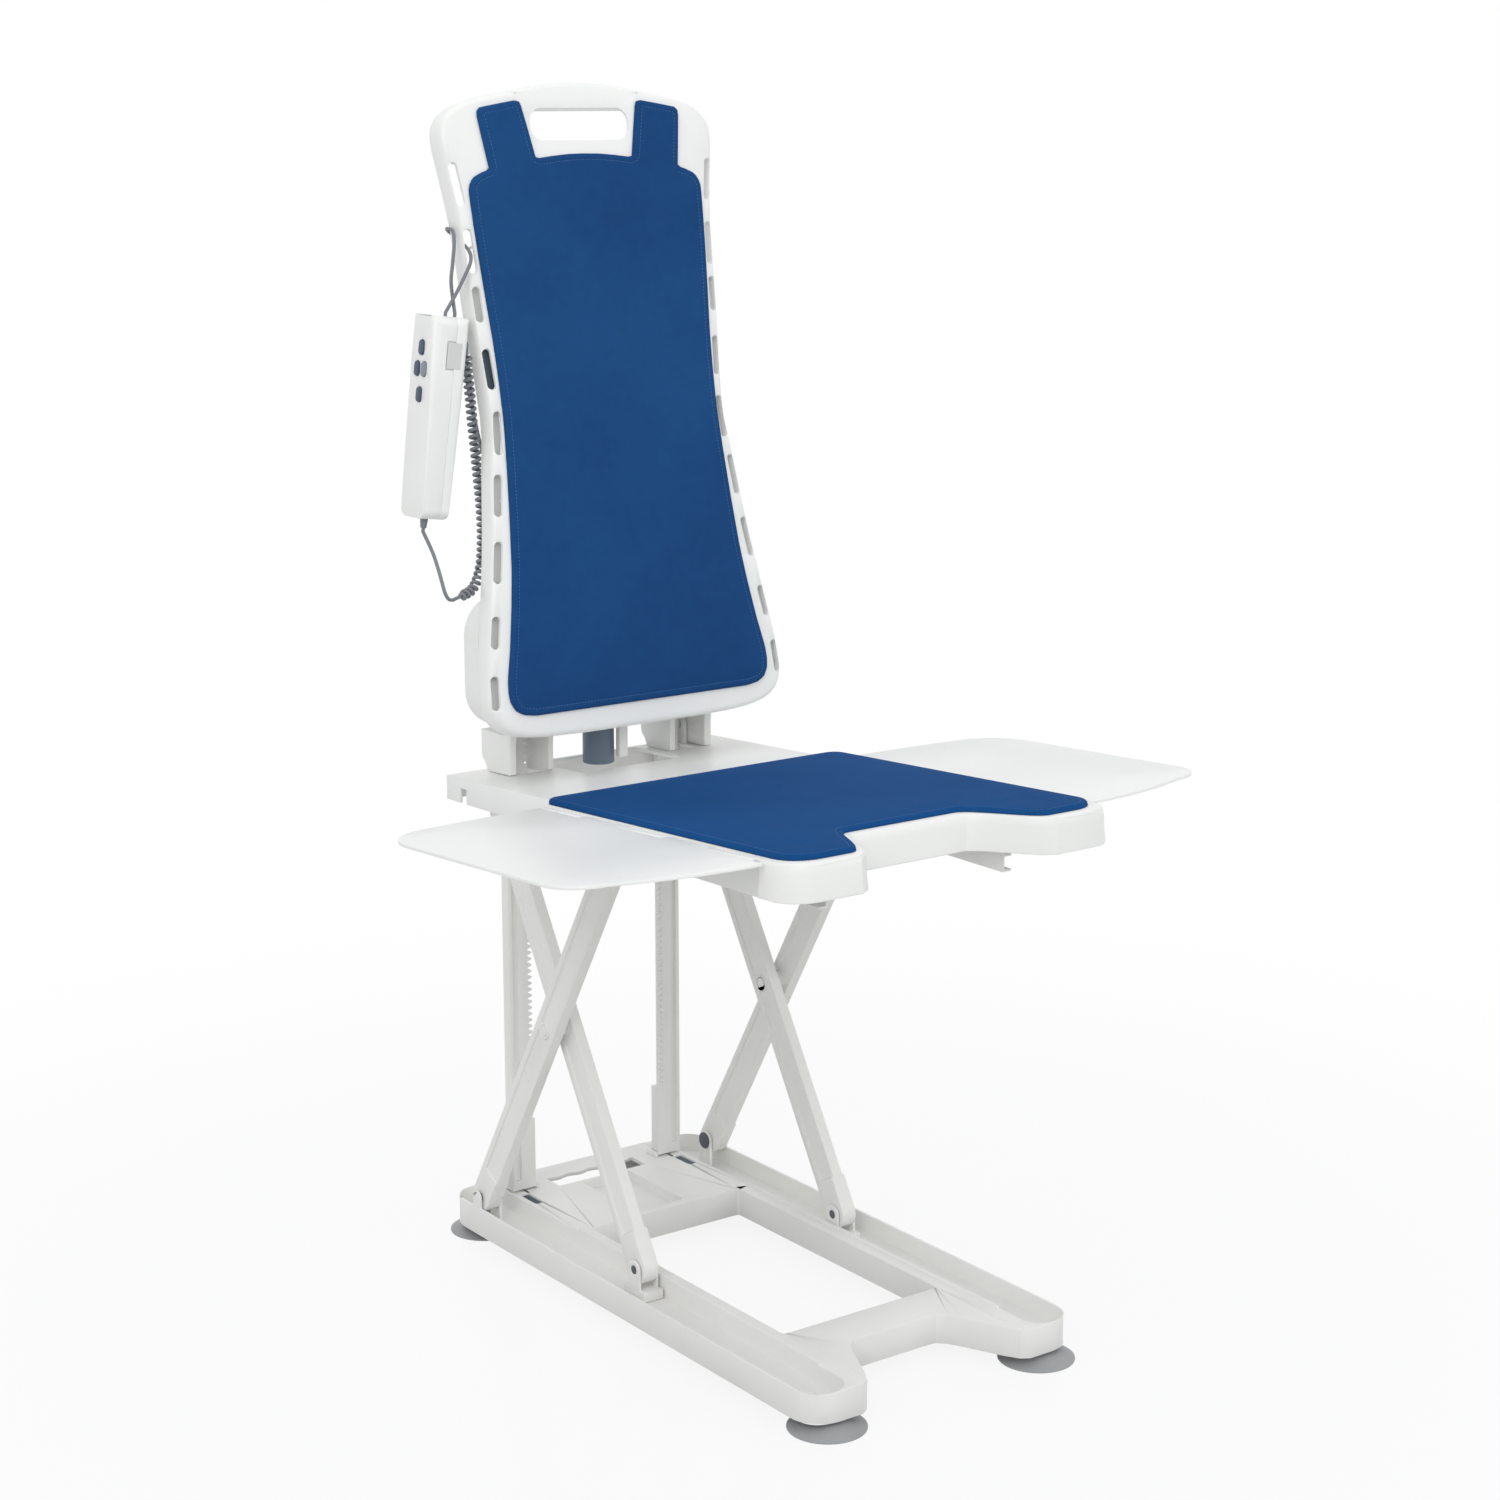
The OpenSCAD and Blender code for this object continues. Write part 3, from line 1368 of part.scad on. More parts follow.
module button(i) {
  face = face_x(button_place(i)[1]);
  color(dark) at_handset() button_bar(i, face - button_proud, face + handset_wall + button_travel, 0);
}

module battery_pack() {
  x0 = -face_x(-battery_drop - battery_size[2] / 2) - handset_wall - near_gap - battery_size[0];
  color(dark) at_handset()
    box([x0, -battery_size[1] / 2, -battery_drop - battery_size[2] / 2],
        [x0 + battery_size[0], battery_size[1] / 2, -battery_drop + battery_size[2] / 2]);
}

module circuit_board() {
  face = face_x(board_rise - board_size_z / 2) + handset_wall + 2 * button_travel + slide_gap;
  color("darkgreen") at_handset()
    box([face, -handset_w / 2 + handset_wall, board_rise - board_size_z / 2],
        [face + board_t, handset_w / 2 - handset_wall, board_rise + board_size_z / 2]);
}

module handset_gland() {
  color(dark) at_handset() translate([0, 0, -handset_h / 2 - gland_l + handset_wall])
    cylinder(r1 = gland_r * 2 / 3, r2 = gland_r, h = gland_l);
}

// Cords
drive_exit = [4 * gland_r - tooth_tip, rack_y, drive_low + drive_h];
module cord_exit() {
  translate(drive_exit - [0, 0, drive_wall + over]) cylinder(r = gland_r, h = drive_wall + 2 * over);
}

module drive_gland() {
  color(dark) translate(drive_exit - [0, 0, drive_wall])
    cylinder(r1 = gland_r, r2 = gland_r * 2 / 3, h = gland_l + drive_wall);
}

function handset_point(v) =
  handset_place + [v[0] * cos(handset_tilt) + v[2] * sin(handset_tilt), v[1],
                   v[2] * cos(handset_tilt) - v[0] * sin(handset_tilt)];

loop_start = handset_point([loop_feet[0], 0, handset_h / 2]);
loop_end = handset_point([loop_feet[1], 0, handset_h / 2]);
loop_way = loop_d * unit(handset_point([0, 0, handset_h]) - handset_place);

module hanging_loop() {
  way = concat([loop_start + loop_way], routed(loop_points), [loop_end + loop_way]);
  color(dark) tube(concat([loop_start], curve(way, 3), [loop_end]), loop_d / 2, cord_sides);
}

// Curled stretch: one tube wound round its centre line
curl_axis = curve(curl_points, 6);
curl_last = len(curl_axis) - 1;
function curl_hop(i) = norm(curl_axis[min(i + 1, curl_last)] - curl_axis[i]);
curl_run = [for (i = 0, d = 0; i <= curl_last; d = d + curl_hop(i), i = i + 1) d];
curl_len = curl_run[len(curl_run) - 1];
curl_step = 8;
curl_rings = curl_count * curl_step;
curl_r = (curl_d - cord_d) / 2;
axis_tables = [for (k = [0:2]) [for (i = [0:curl_last]) [curl_run[i], curl_axis[i][k]]]];
function axis_at(t) = [for (table = axis_tables) lookup(t * curl_len, table)];
way_share = 0.02;
function axis_way(t) = unit(axis_at(min(t + way_share, 1)) - axis_at(max(t - way_share, 0)));
curl_path = [
  for (i = [0:curl_rings])
    let (t = i / curl_rings, w = axis_way(t), a = unit(cross(w, [0, 1, 0])), b = cross(w, a),
         grow = min(1, i / curl_step, (curl_rings - i) / curl_step), turn = 360 * i / curl_step)
      axis_at(t) + curl_r * grow * (cos(turn) * a + sin(turn) * b)
];
curl_gap = min([
  for (i = [curl_step:curl_rings - 2 * curl_step]) for (k = [curl_step / 2:curl_step + curl_step / 2])
    norm(curl_path[i] - curl_path[i + k])
]) - cord_d;
echo(curl_gap = curl_gap, curl_len = curl_len);

module curly_cord() {
  color(dark) tube(concat([curl_points[0] - cord_d * axis_way(0)], curl_path,
    [curl_points[curl_points_n - 1] + cord_d * axis_way(1)]), cord_d / 2, curl_sides);
}

handset_exit = handset_point([0, 0, -handset_h / 2 - gland_l + handset_wall]);
handset_way = unit(handset_exit - handset_point([0, 0, 0]));
curl_end = curl_points[curl_points_n - 1] + cord_d * axis_way(1);
lead_low = concat(
  [curl_end + cord_d * axis_way(1)], routed(lead_low_points), [handset_exit + cord_d * handset_way]
);

module handset_lead() {
  color(dark) tube(concat([curl_end], curve(lead_low, 4), [handset_exit]), cord_d / 2, cord_sides);
}

curl_start = curl_points[0] - cord_d * axis_way(0);
drive_top = drive_exit + [0, 0, gland_l];
lead_high = concat(
  [drive_top + [0, 0, cord_d], drive_top + [0, 0, 4 * cord_d]],
  routed(lead_high_points),
  [curl_start - cord_d * axis_way(0)]
);

module drive_lead() {
  color(dark) tube(concat([drive_top], curve(lead_high, 4), [curl_start]), cord_d / 2, cord_sides);
}

base_frame();
cup(-1, -1);  // cup_front_left
cup(1, -1);  // cup_front_right
cup(-1, 1);  // cup_rear_left
cup(1, 1);  // cup_rear_right
cup_studs();
base_pins();
rack_socket(-1);  // rack_socket_left
rack_socket(1);  // rack_socket_right
outer_leg(-1);  // outer_leg_left
outer_leg(1);  // outer_leg_right
crossing_pins();
crossing_spacers();
upper_shoe_pins();
upper_shoe(-1);  // upper_shoe_left
upper_shoe(1);  // upper_shoe_right
inner_leg(-1);  // inner_leg_left
inner_leg(1);  // inner_leg_right
lower_shoe_pins();
lower_shoe(-1);  // lower_shoe_left
lower_shoe(1);  // lower_shoe_right
seat_shell();
seat_rail(-1);  // seat_rail_left
seat_rail(1);  // seat_rail_right
seat_pins();
seat_pad();
flap(-1);  // flap_left
flap(1);  // flap_right
flap_pins();
recline_pins();
backrest_shell();
backrest_pad();
hinge_bracket(-1);  // hinge_bracket_left
hinge_bracket(1);  // hinge_bracket_right
drive_front_cover();
drive_rear_cover();
cover_screws();
motor();
worm();
shaft_bushes();
pinion(-1);  // pinion_left
pinion(1);  // pinion_right
worm_wheel(-1);  // worm_wheel_left
worm_wheel(1);  // worm_wheel_right
rack(-1);  // rack_left
rack(1);  // rack_right
handset_button_shell();
handset_back_shell();
battery_pack();
circuit_board();
button(0);  // button_top
button(1);  // button_left
button(2);  // button_right
button(3);  // button_bottom
handset_gland();
drive_gland();
hanging_loop();
curly_cord();
handset_lead();
drive_lead();
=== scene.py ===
import json
import math

import bmesh
import bpy
import numpy as np
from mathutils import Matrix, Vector, geometry

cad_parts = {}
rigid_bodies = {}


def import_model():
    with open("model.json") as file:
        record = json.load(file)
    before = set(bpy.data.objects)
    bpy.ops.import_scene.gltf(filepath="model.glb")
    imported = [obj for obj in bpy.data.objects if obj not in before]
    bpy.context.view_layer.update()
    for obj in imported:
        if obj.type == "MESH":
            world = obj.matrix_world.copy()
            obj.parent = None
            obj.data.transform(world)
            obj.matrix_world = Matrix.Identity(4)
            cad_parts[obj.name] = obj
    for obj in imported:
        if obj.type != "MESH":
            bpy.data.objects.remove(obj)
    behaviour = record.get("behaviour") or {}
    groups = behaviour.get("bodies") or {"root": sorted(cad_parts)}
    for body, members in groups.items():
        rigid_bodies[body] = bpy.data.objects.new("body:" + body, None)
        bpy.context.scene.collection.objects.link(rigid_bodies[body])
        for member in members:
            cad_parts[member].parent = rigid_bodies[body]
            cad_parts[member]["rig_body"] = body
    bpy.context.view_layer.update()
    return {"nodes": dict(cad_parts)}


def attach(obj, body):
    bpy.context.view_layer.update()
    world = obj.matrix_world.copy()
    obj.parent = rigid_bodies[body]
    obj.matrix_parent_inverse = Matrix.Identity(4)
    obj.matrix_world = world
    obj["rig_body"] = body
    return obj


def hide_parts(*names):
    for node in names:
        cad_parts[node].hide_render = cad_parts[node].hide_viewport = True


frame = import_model()
nodes = frame["nodes"]
scene = bpy.context.scene

# Sizes repeated from the part's source, in metres
MM = 0.001
BACK_FOOT = Vector((0, 164.5, 551)) * MM
BACK_LEAN = math.radians(10.45)
SEAT_Z = 489 * MM
SEAT_SLOPE = math.radians(3.5)
HANDSET_PLACE = np.array((-176.5, 247, 819)) * MM
HANDSET_TILT = math.radians(7.5)
HANDSET_H = 186 * MM
CORD_D = 3.4 * MM
CURL_D = 10.6 * MM
CURLS = 42
GLAND_L = 12 * MM
BASE_JOINT_X = 86 * MM

# Limits for the meshes, in metres
SAME_POINT = 0.02 * MM
CORD_STEP = 0.3 * MM
ON_JOINT = 0.2 * MM
BOX_SLACK = 0.05 * MM
RING_SLACK = 0.12 * MM


# Camera at the photograph's place: millimetres for the lens and sensor, metres, degrees
CAMERA_LENS, CAMERA_SENSOR, CAMERA_REACH = 70.59, 36, 50
CAMERA_PLACE = (-1.548593, -2.112652, 1.112404)
CAMERA_DIP, CAMERA_TURN = 12.624, -36.321


def make_camera():
    lens = bpy.data.cameras.new("camera")
    lens.lens = CAMERA_LENS
    lens.sensor_width = CAMERA_SENSOR
    lens.clip_end = CAMERA_REACH
    camera = bpy.data.objects.new("camera", lens)
    camera.location = CAMERA_PLACE
    camera.rotation_euler = (math.radians(90 - CAMERA_DIP), 0, math.radians(CAMERA_TURN))
    scene.collection.objects.link(camera)
    scene.camera = camera


# Curves and frames
def curve_through(points, steps):
    """Points of a smooth curve through the given ones."""
    p = [np.array(q, float) for q in points]
    line = []
    for i in range(len(p) - 1):
        a, b, c, d = p[max(i - 1, 0)], p[i], p[i + 1], p[min(i + 2, len(p) - 1)]
        for k in range(steps):
            t = k / steps
            square, cube = 2 * a - 5 * b + 4 * c - d, 3 * b - a - 3 * c + d
            line.append(0.5 * (2 * b + (c - a) * t + square * t**2 + cube * t**3))
    return line + [p[-1]]


def without_repeats(line):
    """The same line without points that lie on each other."""
    kept = [line[0]]
    for p in line[1:]:
        if np.linalg.norm(p - kept[-1]) > CORD_STEP:
            kept.append(p)
    return kept


def unit(v):
    return v / np.linalg.norm(v)


def run_of(line):
    """The length along a line up to each of its points."""
    steps = np.linalg.norm(np.diff(np.array(line), axis=0), axis=1)
    return np.concatenate(([0], np.cumsum(steps)))


def on_back(x, off, up):
    """A place on the backrest from its width, its depth behind the front plane and its height along the lean."""
    return Vector((
        x,
        BACK_FOOT.y + off * math.cos(BACK_LEAN) + up * math.sin(BACK_LEAN),
        BACK_FOOT.z - off * math.sin(BACK_LEAN) + up * math.cos(BACK_LEAN),
    ))


def on_seat(x, y, rise):
    """A place above the seat plate, whose top slopes down to the rear."""
    top = SEAT_Z - math.tan(SEAT_SLOPE) * y
    return Vector((x, y + rise * math.sin(SEAT_SLOPE), top + rise * math.cos(SEAT_SLOPE)))


def on_handset(v):
    """A place on the handset from its middle, along its own tilted axes."""
    c, s = math.cos(HANDSET_TILT), math.sin(HANDSET_TILT)
    return HANDSET_PLACE + np.array((v[0] * c + v[2] * s, v[1], v[2] * c - v[0] * s))


def in_metres(points):
    return [np.array(p) * MM for p in points]


def add_mesh(name, points, faces, smooth=True):
    mesh = bpy.data.meshes.new(name)
    mesh.from_pydata([tuple(p) for p in points], [], faces)
    mesh.polygons.foreach_set("use_smooth", [smooth] * len(mesh.polygons))
    piece = bpy.data.objects.new(name, mesh)
    scene.collection.objects.link(piece)
    return piece


# Cords: ways in millimetres, as they hang beside the backrest
CURL_WAY = [
    (-142.8, 241, 878), (-143.2, 240, 861), (-141, 240, 838), (-139.2, 240, 815), (-137.5, 239, 792),
    (-136.5, 237, 768), (-135.5, 235, 745), (-135.2, 233, 722), (-136.5, 231, 699), (-141, 228, 677),
    (-153, 222, 660), (-172, 215, 655),
]
DRIVE_TOP = (-58.9, 260, 654)
LEAD_HIGH_WAY = [
    (-60, 270, 690), (-78, 279, 725), (-100, 280, 765), (-114, 279, 815), (-125, 277, 862), (-133, 274, 888),
    (-140, 264, 900), (-142.5, 252, 897),
]
LEAD_LOW_WAY = [
    (-181, 211.6, 653.6), (-187.2, 208.6, 655.6), (-191.2, 208, 662), (-192.2, 211.2, 671.5),
    (-191.6, 219, 683.5), (-190.6, 230, 697),
]
LOOP_WAY = [
    (-154, 240.5, 930), (-146, 237.5, 946), (-139, 237, 960), (-135.5, 245, 969), (-135, 259, 976),
    (-136.5, 270, 982), (-141.5, 273, 987), (-145.8, 266, 989), (-146.6, 255, 987), (-149, 249, 976),
    (-152, 247.5, 958), (-154, 247.5, 940),
]
LOOP_FEET = (3 * MM, 13 * MM)
# How far the cord reaches into its gland
GLAND_HOLD = 2.5 * MM
# Points of the cord's line in each stretch and each curl, and how far a curl looks ahead for its way
CORD_STEPS = 6
CURL_POINTS = 16
CURL_LOOK = 0.02


def curl_line():
    """The centre line of the curled stretch: one line wound round the way that the cord hangs."""
    axis = np.array(curve_through(CURL_WAY, CORD_STEPS)) * MM
    run = run_of(axis)

    def at(t):
        return np.array([np.interp(t * run[-1], run, axis[:, k]) for k in range(3)])

    def along(t):
        return unit(at(min(t + CURL_LOOK, 1)) - at(max(t - CURL_LOOK, 0)))

    rings = CURLS * CURL_POINTS
    line = []
    for i in range(rings + 1):
        w = along(i / rings)
        a = unit(np.cross(w, (0, 1, 0)))
        b = np.cross(w, a)
        grow = min(1, i / CURL_POINTS, (rings - i) / CURL_POINTS)
        grow = grow * grow * (3 - 2 * grow) * (CURL_D - CORD_D) / 2
        turn = math.tau * i / CURL_POINTS
        line.append(at(i / rings) + grow * (math.cos(turn) * a + math.sin(turn) * b))
    return line, at(0), along(0), at(1), along(1)


def plain_mesh(maker, name):
    """The finished form of an object as a plain mesh, which takes the maker's place."""
    seen = maker.evaluated_get(bpy.context.evaluated_depsgraph_get())
    mesh = bpy.data.meshes.new_from_object(seen)
    data = maker.data
    bpy.data.objects.remove(maker)
    (bpy.data.curves if isinstance(data, bpy.types.Curve) else bpy.data.meshes).remove(data)
    mesh.name = name
    piece = bpy.data.objects.new(name, mesh)
    scene.collection.objects.link(piece)
    return piece


def add_cord(name, line, diameter, body):
    data = bpy.data.curves.new(name + "_line", "CURVE")
    data.dimensions = "3D"
    data.bevel_depth = diameter / 2
    data.bevel_resolution = 3
    data.use_fill_caps = True
    spline = data.splines.new("POLY")
    spline.points.add(len(line) - 1)
    spline.points.foreach_set("co", [c for p in line for c in (*p, 1)])
    spline.use_smooth = True
    maker = bpy.data.objects.new(name + "_line", data)
    scene.collection.objects.link(maker)
    cord = plain_mesh(maker, name)
    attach(cord, body)
    return cord


def make_cords():
    curl, start, start_way, end, end_way = curl_line()
    drive_top = np.array(DRIVE_TOP) * MM
    handset_exit = on_handset((0, 0, -HANDSET_H / 2 - GLAND_L + GLAND_HOLD))
    handset_way = unit(handset_exit - on_handset((0, 0, 0)))
    curl_start = start - CORD_D * start_way
    curl_end = end + CORD_D * end_way
    high = [drive_top + np.array((0, 0, CORD_D)), drive_top + np.array((0, 0, 4 * CORD_D))]
    high += [*in_metres(LEAD_HIGH_WAY), curl_start - CORD_D * start_way]
    low = [curl_end + CORD_D * end_way, *in_metres(LEAD_LOW_WAY), handset_exit + CORD_D * handset_way]
    line = without_repeats([
        drive_top, *curve_through(high, CORD_STEPS), curl_start, *curl, curl_end, *curve_through(low, CORD_STEPS),
        handset_exit,
    ])
    cord = add_cord("handset_cord", line, CORD_D, "backrest")
    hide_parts("drive_lead", "curly_cord", "handset_lead")

    first, last = (on_handset((x, 0, HANDSET_H / 2)) for x in LOOP_FEET)
    up = -CORD_D * handset_way
    loop = curve_through([first + up, *in_metres(LOOP_WAY), last + up], CORD_STEPS)
    line = without_repeats([first, *loop, last])
    hanger = add_cord("hanging_cord", line, CORD_D, "backrest")
    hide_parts("hanging_loop")
    return cord, hanger


# Shader groups that several finishes share
def new_group(name, inputs, outputs):
    tree = bpy.data.node_groups.new(name, "ShaderNodeTree")
    for label, value in inputs:
        socket = tree.interface.new_socket(label, in_out="INPUT", socket_type="NodeSocketFloat")
        socket.default_value = value
    for label, kind in outputs:
        tree.interface.new_socket(label, in_out="OUTPUT", socket_type=kind)
    return tree, tree.nodes.new("NodeGroupInput"), tree.nodes.new("NodeGroupOutput")


def join(tree, out, into):
    tree.links.new(out, into)


def math_node(tree, operation, a, b=None, clamp=False):
    node = tree.nodes.new("ShaderNodeMath")
    node.operation = operation
    node.use_clamp = clamp
    for socket, value in zip(node.inputs, (a, b)):
        if value is None:
            continue
        if isinstance(value, (int, float)):
            socket.default_value = value
        else:
            join(tree, value, socket)
    return node.outputs[0]


def noise_node(tree, coords, scale, detail=3, rough=0.5):
    node = tree.nodes.new("ShaderNodeTexNoise")
    node.inputs["Detail"].default_value = detail
    node.inputs["Roughness"].default_value = rough
    join(tree, coords, node.inputs["Vector"])
    if isinstance(scale, (int, float)):
        node.inputs["Scale"].default_value = scale
    else:
        join(tree, scale, node.inputs["Scale"])
    return node.outputs["Fac"]


def make_moulded_group():
    """Moulded plastic: a fine spark grain, a slow change of tone, and thin scuffs."""
    tree, given, out = new_group(
        "moulded_grain",
        [("Grain scale", 1400.0), ("Tone scale", 7.0), ("Scuff", 0.4), ("Gloss low", 0.28), ("Gloss high", 0.42)],
        [("Tone", "NodeSocketFloat"), ("Roughness", "NodeSocketFloat"), ("Height", "NodeSocketFloat")],
    )
    coords = tree.nodes.new("ShaderNodeTexCoord").outputs["Object"]
    grain = noise_node(tree, coords, given.outputs["Grain scale"], 2, 0.6)
    tone = noise_node(tree, coords, given.outputs["Tone scale"], 4, 0.55)
    stretch = tree.nodes.new("ShaderNodeMapping")
    stretch.inputs["Scale"].default_value = (260, 34, 60)
    stretch.inputs["Rotation"].default_value = (0.5, 0.2, 0.7)
    join(tree, coords, stretch.inputs["Vector"])
    scratch = noise_node(tree, stretch.outputs["Vector"], 1.0, 3, 0.62)
    sharp = math_node(tree, "SMOOTH_MIN", math_node(tree, "SUBTRACT", scratch, 0.66, True), 0.25)
    scuff = math_node(tree, "MULTIPLY", math_node(tree, "MULTIPLY", sharp, 4.0, True), given.outputs["Scuff"])
    join(tree, tone, out.inputs["Tone"])
    span = math_node(tree, "SUBTRACT", given.outputs["Gloss high"], given.outputs["Gloss low"])
    rough = math_node(tree, "ADD", given.outputs["Gloss low"], math_node(tree, "MULTIPLY", span, tone))
    join(tree, math_node(tree, "ADD", rough, math_node(tree, "MULTIPLY", scuff, 0.3), True), out.inputs["Roughness"])
    join(tree, math_node(tree, "SUBTRACT", grain, scuff), out.inputs["Height"])
    return tree


def make_cloth_group():
    """Knitted cover cloth: rows of small stitches in the plane of the pad, with slub and a soft change of tone."""
    tree, given, out = new_group(
        "knit_cloth",
        [("Lean", 0.0), ("Rows per metre", 620.0), ("Slub scale", 90.0)],
        [("Tone", "NodeSocketFloat"), ("Roughness", "NodeSocketFloat"), ("Height", "NodeSocketFloat")],
    )
    coords = tree.nodes.new("ShaderNodeTexCoord").outputs["Object"]
    turn = tree.nodes.new("ShaderNodeVectorRotate")
    turn.rotation_type = "X_AXIS"
    join(tree, coords, turn.inputs["Vector"])
    join(tree, given.outputs["Lean"], turn.inputs["Angle"])
    parts = tree.nodes.new("ShaderNodeSeparateXYZ")
    join(tree, turn.outputs["Vector"], parts.inputs["Vector"])
    slub = noise_node(tree, turn.outputs["Vector"], given.outputs["Slub scale"], 3, 0.6)
    turns = math_node(tree, "MULTIPLY", given.outputs["Rows per metre"], math.tau)
    bend = math_node(tree, "MULTIPLY", math_node(tree, "SUBTRACT", slub, 0.5), 1.6)

    def rows(axis):
        place = math_node(tree, "MULTIPLY", parts.outputs[axis], turns)
        return math_node(tree, "SINE", math_node(tree, "ADD", place, bend))

    def blend(a, share_a, b, share_b):
        parts_of = [math_node(tree, "MULTIPLY", v, share) for v, share in ((a, share_a), (b, share_b))]
        return math_node(tree, "ADD", *parts_of)

    weave = math_node(tree, "MULTIPLY", rows("X"), rows("Z"))
    wide = noise_node(tree, turn.outputs["Vector"], 5.0, 4, 0.6)
    join(tree, blend(wide, 0.75, slub, 0.25), out.inputs["Tone"])
    join(tree, math_node(tree, "ADD", 0.72, math_node(tree, "MULTIPLY", slub, 0.2), True), out.inputs["Roughness"])
    join(tree, blend(weave, 0.5, slub, 0.8), out.inputs["Height"])
    return tree


def linear(r, g, b):
    """A colour written as it shows on screen, 0 to 255, made linear."""
    shares = [v / 255 for v in (r, g, b)]
    return tuple(v / 12.92 if v < 0.04045 else ((v + 0.055) / 1.055) ** 2.4 for v in shares) + (1,)


def finish_of(name, group, dark, light, values, bump, depth, **sockets):
    """A finish: one shared group for tone, roughness and height, and its own colours and shader values."""
    material = bpy.data.materials.new(name)
    material.use_nodes = True
    tree = material.node_tree
    shader = tree.nodes["Principled BSDF"]
    effect = tree.nodes.new("ShaderNodeGroup")
    effect.node_tree = group
    for label, value in values.items():
        effect.inputs[label].default_value = value
    ramp = tree.nodes.new("ShaderNodeValToRGB")
    ramp.color_ramp.elements[0].position, ramp.color_ramp.elements[1].position = 0.3, 0.7
    ramp.color_ramp.elements[0].color, ramp.color_ramp.elements[1].color = linear(*dark), linear(*light)
    join(tree, effect.outputs["Tone"], ramp.inputs["Fac"])
    join(tree, ramp.outputs["Color"], shader.inputs["Base Color"])
    join(tree, effect.outputs["Roughness"], shader.inputs["Roughness"])
    relief = tree.nodes.new("ShaderNodeBump")
    relief.inputs["Strength"].default_value = bump
    relief.inputs["Distance"].default_value = depth
    join(tree, effect.outputs["Height"], relief.inputs["Height"])
    join(tree, relief.outputs["Normal"], shader.inputs["Normal"])
    for label, value in sockets.items():
        shader.inputs[label.replace("_", " ")].default_value = value
    material.diffuse_color = linear(*light)
    return material


def make_finishes():
    moulded, cloth = make_moulded_group(), make_cloth_group()
    return {
        "shell_white": finish_of("shell_white", moulded, (236, 236, 233), (241, 241, 238),
                                 {"Scuff": 0.2, "Gloss low": 0.3, "Gloss high": 0.42}, 0.05, 0.0004),
        "frame_grey": finish_of("frame_grey", moulded, (232, 231, 228), (239, 238, 235),
                                {"Scuff": 0.5, "Gloss low": 0.42, "Gloss high": 0.56}, 0.08, 0.0004),
        "pad_back": finish_of("pad_back", cloth, (24, 65, 114), (32, 78, 131),
                              {"Lean": -BACK_LEAN}, 0.25, 0.0006, Specular_IOR_Level=0.08),
        # The seat's cloth is the same blue as the back's, painted with less red and more blue to cancel the pale
        # sheen the lamps lay on it at a grazing angle
        "pad_seat": finish_of("pad_seat", cloth, (16, 67, 121), (24, 78, 135),
                              {"Lean": math.pi / 2}, 0.25, 0.0006, Specular_IOR_Level=0.08),
        "cup_rubber": finish_of("cup_rubber", moulded, (148, 149, 150), (162, 163, 164),
                                {"Scuff": 0.6, "Gloss low": 0.4, "Gloss high": 0.6}, 0.1, 0.0004),
        "pin_steel": finish_of("pin_steel", moulded, (176, 178, 181), (196, 198, 200),
                               {"Scuff": 0.8, "Gloss low": 0.22, "Gloss high": 0.4}, 0.05, 0.0003, Metallic=1.0),
        "wheel_brass": finish_of("wheel_brass", moulded, (186, 150, 74), (206, 170, 92),
                                 {"Scuff": 0.8, "Gloss low": 0.25, "Gloss high": 0.45}, 0.05, 0.0003, Metallic=1.0),
        # Painted shade: a grey for sheets that stand in for the shade inside the backrest's slots and on the
        # handset's small recess
        "painted_shade_grey": finish_of("painted_shade_grey", moulded, (206, 206, 204), (214, 214, 212),
                               {"Scuff": 0.2, "Gloss low": 0.4, "Gloss high": 0.5}, 0.05, 0.0003),
        # Painted shade: a dark grey-blue for sheets that stand in for the deeper shade in part of the left slots and
        # in the base's pockets
        "painted_shade_dark": finish_of("painted_shade_dark", moulded, (58, 68, 82), (72, 82, 96),
                                {"Scuff": 0.3, "Gloss low": 0.45, "Gloss high": 0.6}, 0.08, 0.0003),
        "motor_blue": finish_of("motor_blue", moulded, (90, 104, 122), (104, 118, 136),
                                {"Scuff": 0.4, "Gloss low": 0.35, "Gloss high": 0.5}, 0.08, 0.0003),
        "button_blue": finish_of("button_blue", moulded, (62, 75, 96), (74, 88, 110),
                                 {"Scuff": 0.3, "Gloss low": 0.35, "Gloss high": 0.5}, 0.08, 0.0003),
        "button_grey": finish_of("button_grey", moulded, (128, 134, 142), (142, 148, 156),
                                 {"Scuff": 0.3, "Gloss low": 0.35, "Gloss high": 0.5}, 0.08, 0.0003),
        "thread_blue": finish_of("thread_blue", moulded, (58, 98, 148), (70, 112, 162),
                                 {"Scuff": 0.0, "Gloss low": 0.6, "Gloss high": 0.75}, 0.1, 0.0002),
        "dark_plastic": finish_of("dark_plastic", moulded, (76, 80, 88), (90, 94, 102),
                                  {"Scuff": 0.5, "Gloss low": 0.35, "Gloss high": 0.5}, 0.1, 0.0004),
        "board_green": finish_of("board_green", moulded, (24, 70, 40), (34, 88, 52),
                                 {"Scuff": 0.3, "Gloss low": 0.3, "Gloss high": 0.45}, 0.05, 0.0003),
        "cord_grey": finish_of("cord_grey", moulded, (112, 115, 120), (130, 133, 138),
                               {"Scuff": 0.3, "Gloss low": 0.4, "Gloss high": 0.55}, 0.08, 0.0003),
    }


# CAD pieces with their edges rounded
def merged_form(node):
    source = nodes[node].data
    work = bmesh.new()
    made = [work.verts.new(v.co) for v in source.vertices]
    for face in source.polygons:
        corners = [made[i] for i in face.vertices]
        if len(set(corners)) == len(corners):
            work.faces.new(corners)
    bmesh.ops.remove_doubles(work, verts=work.verts, dist=SAME_POINT)
    return work


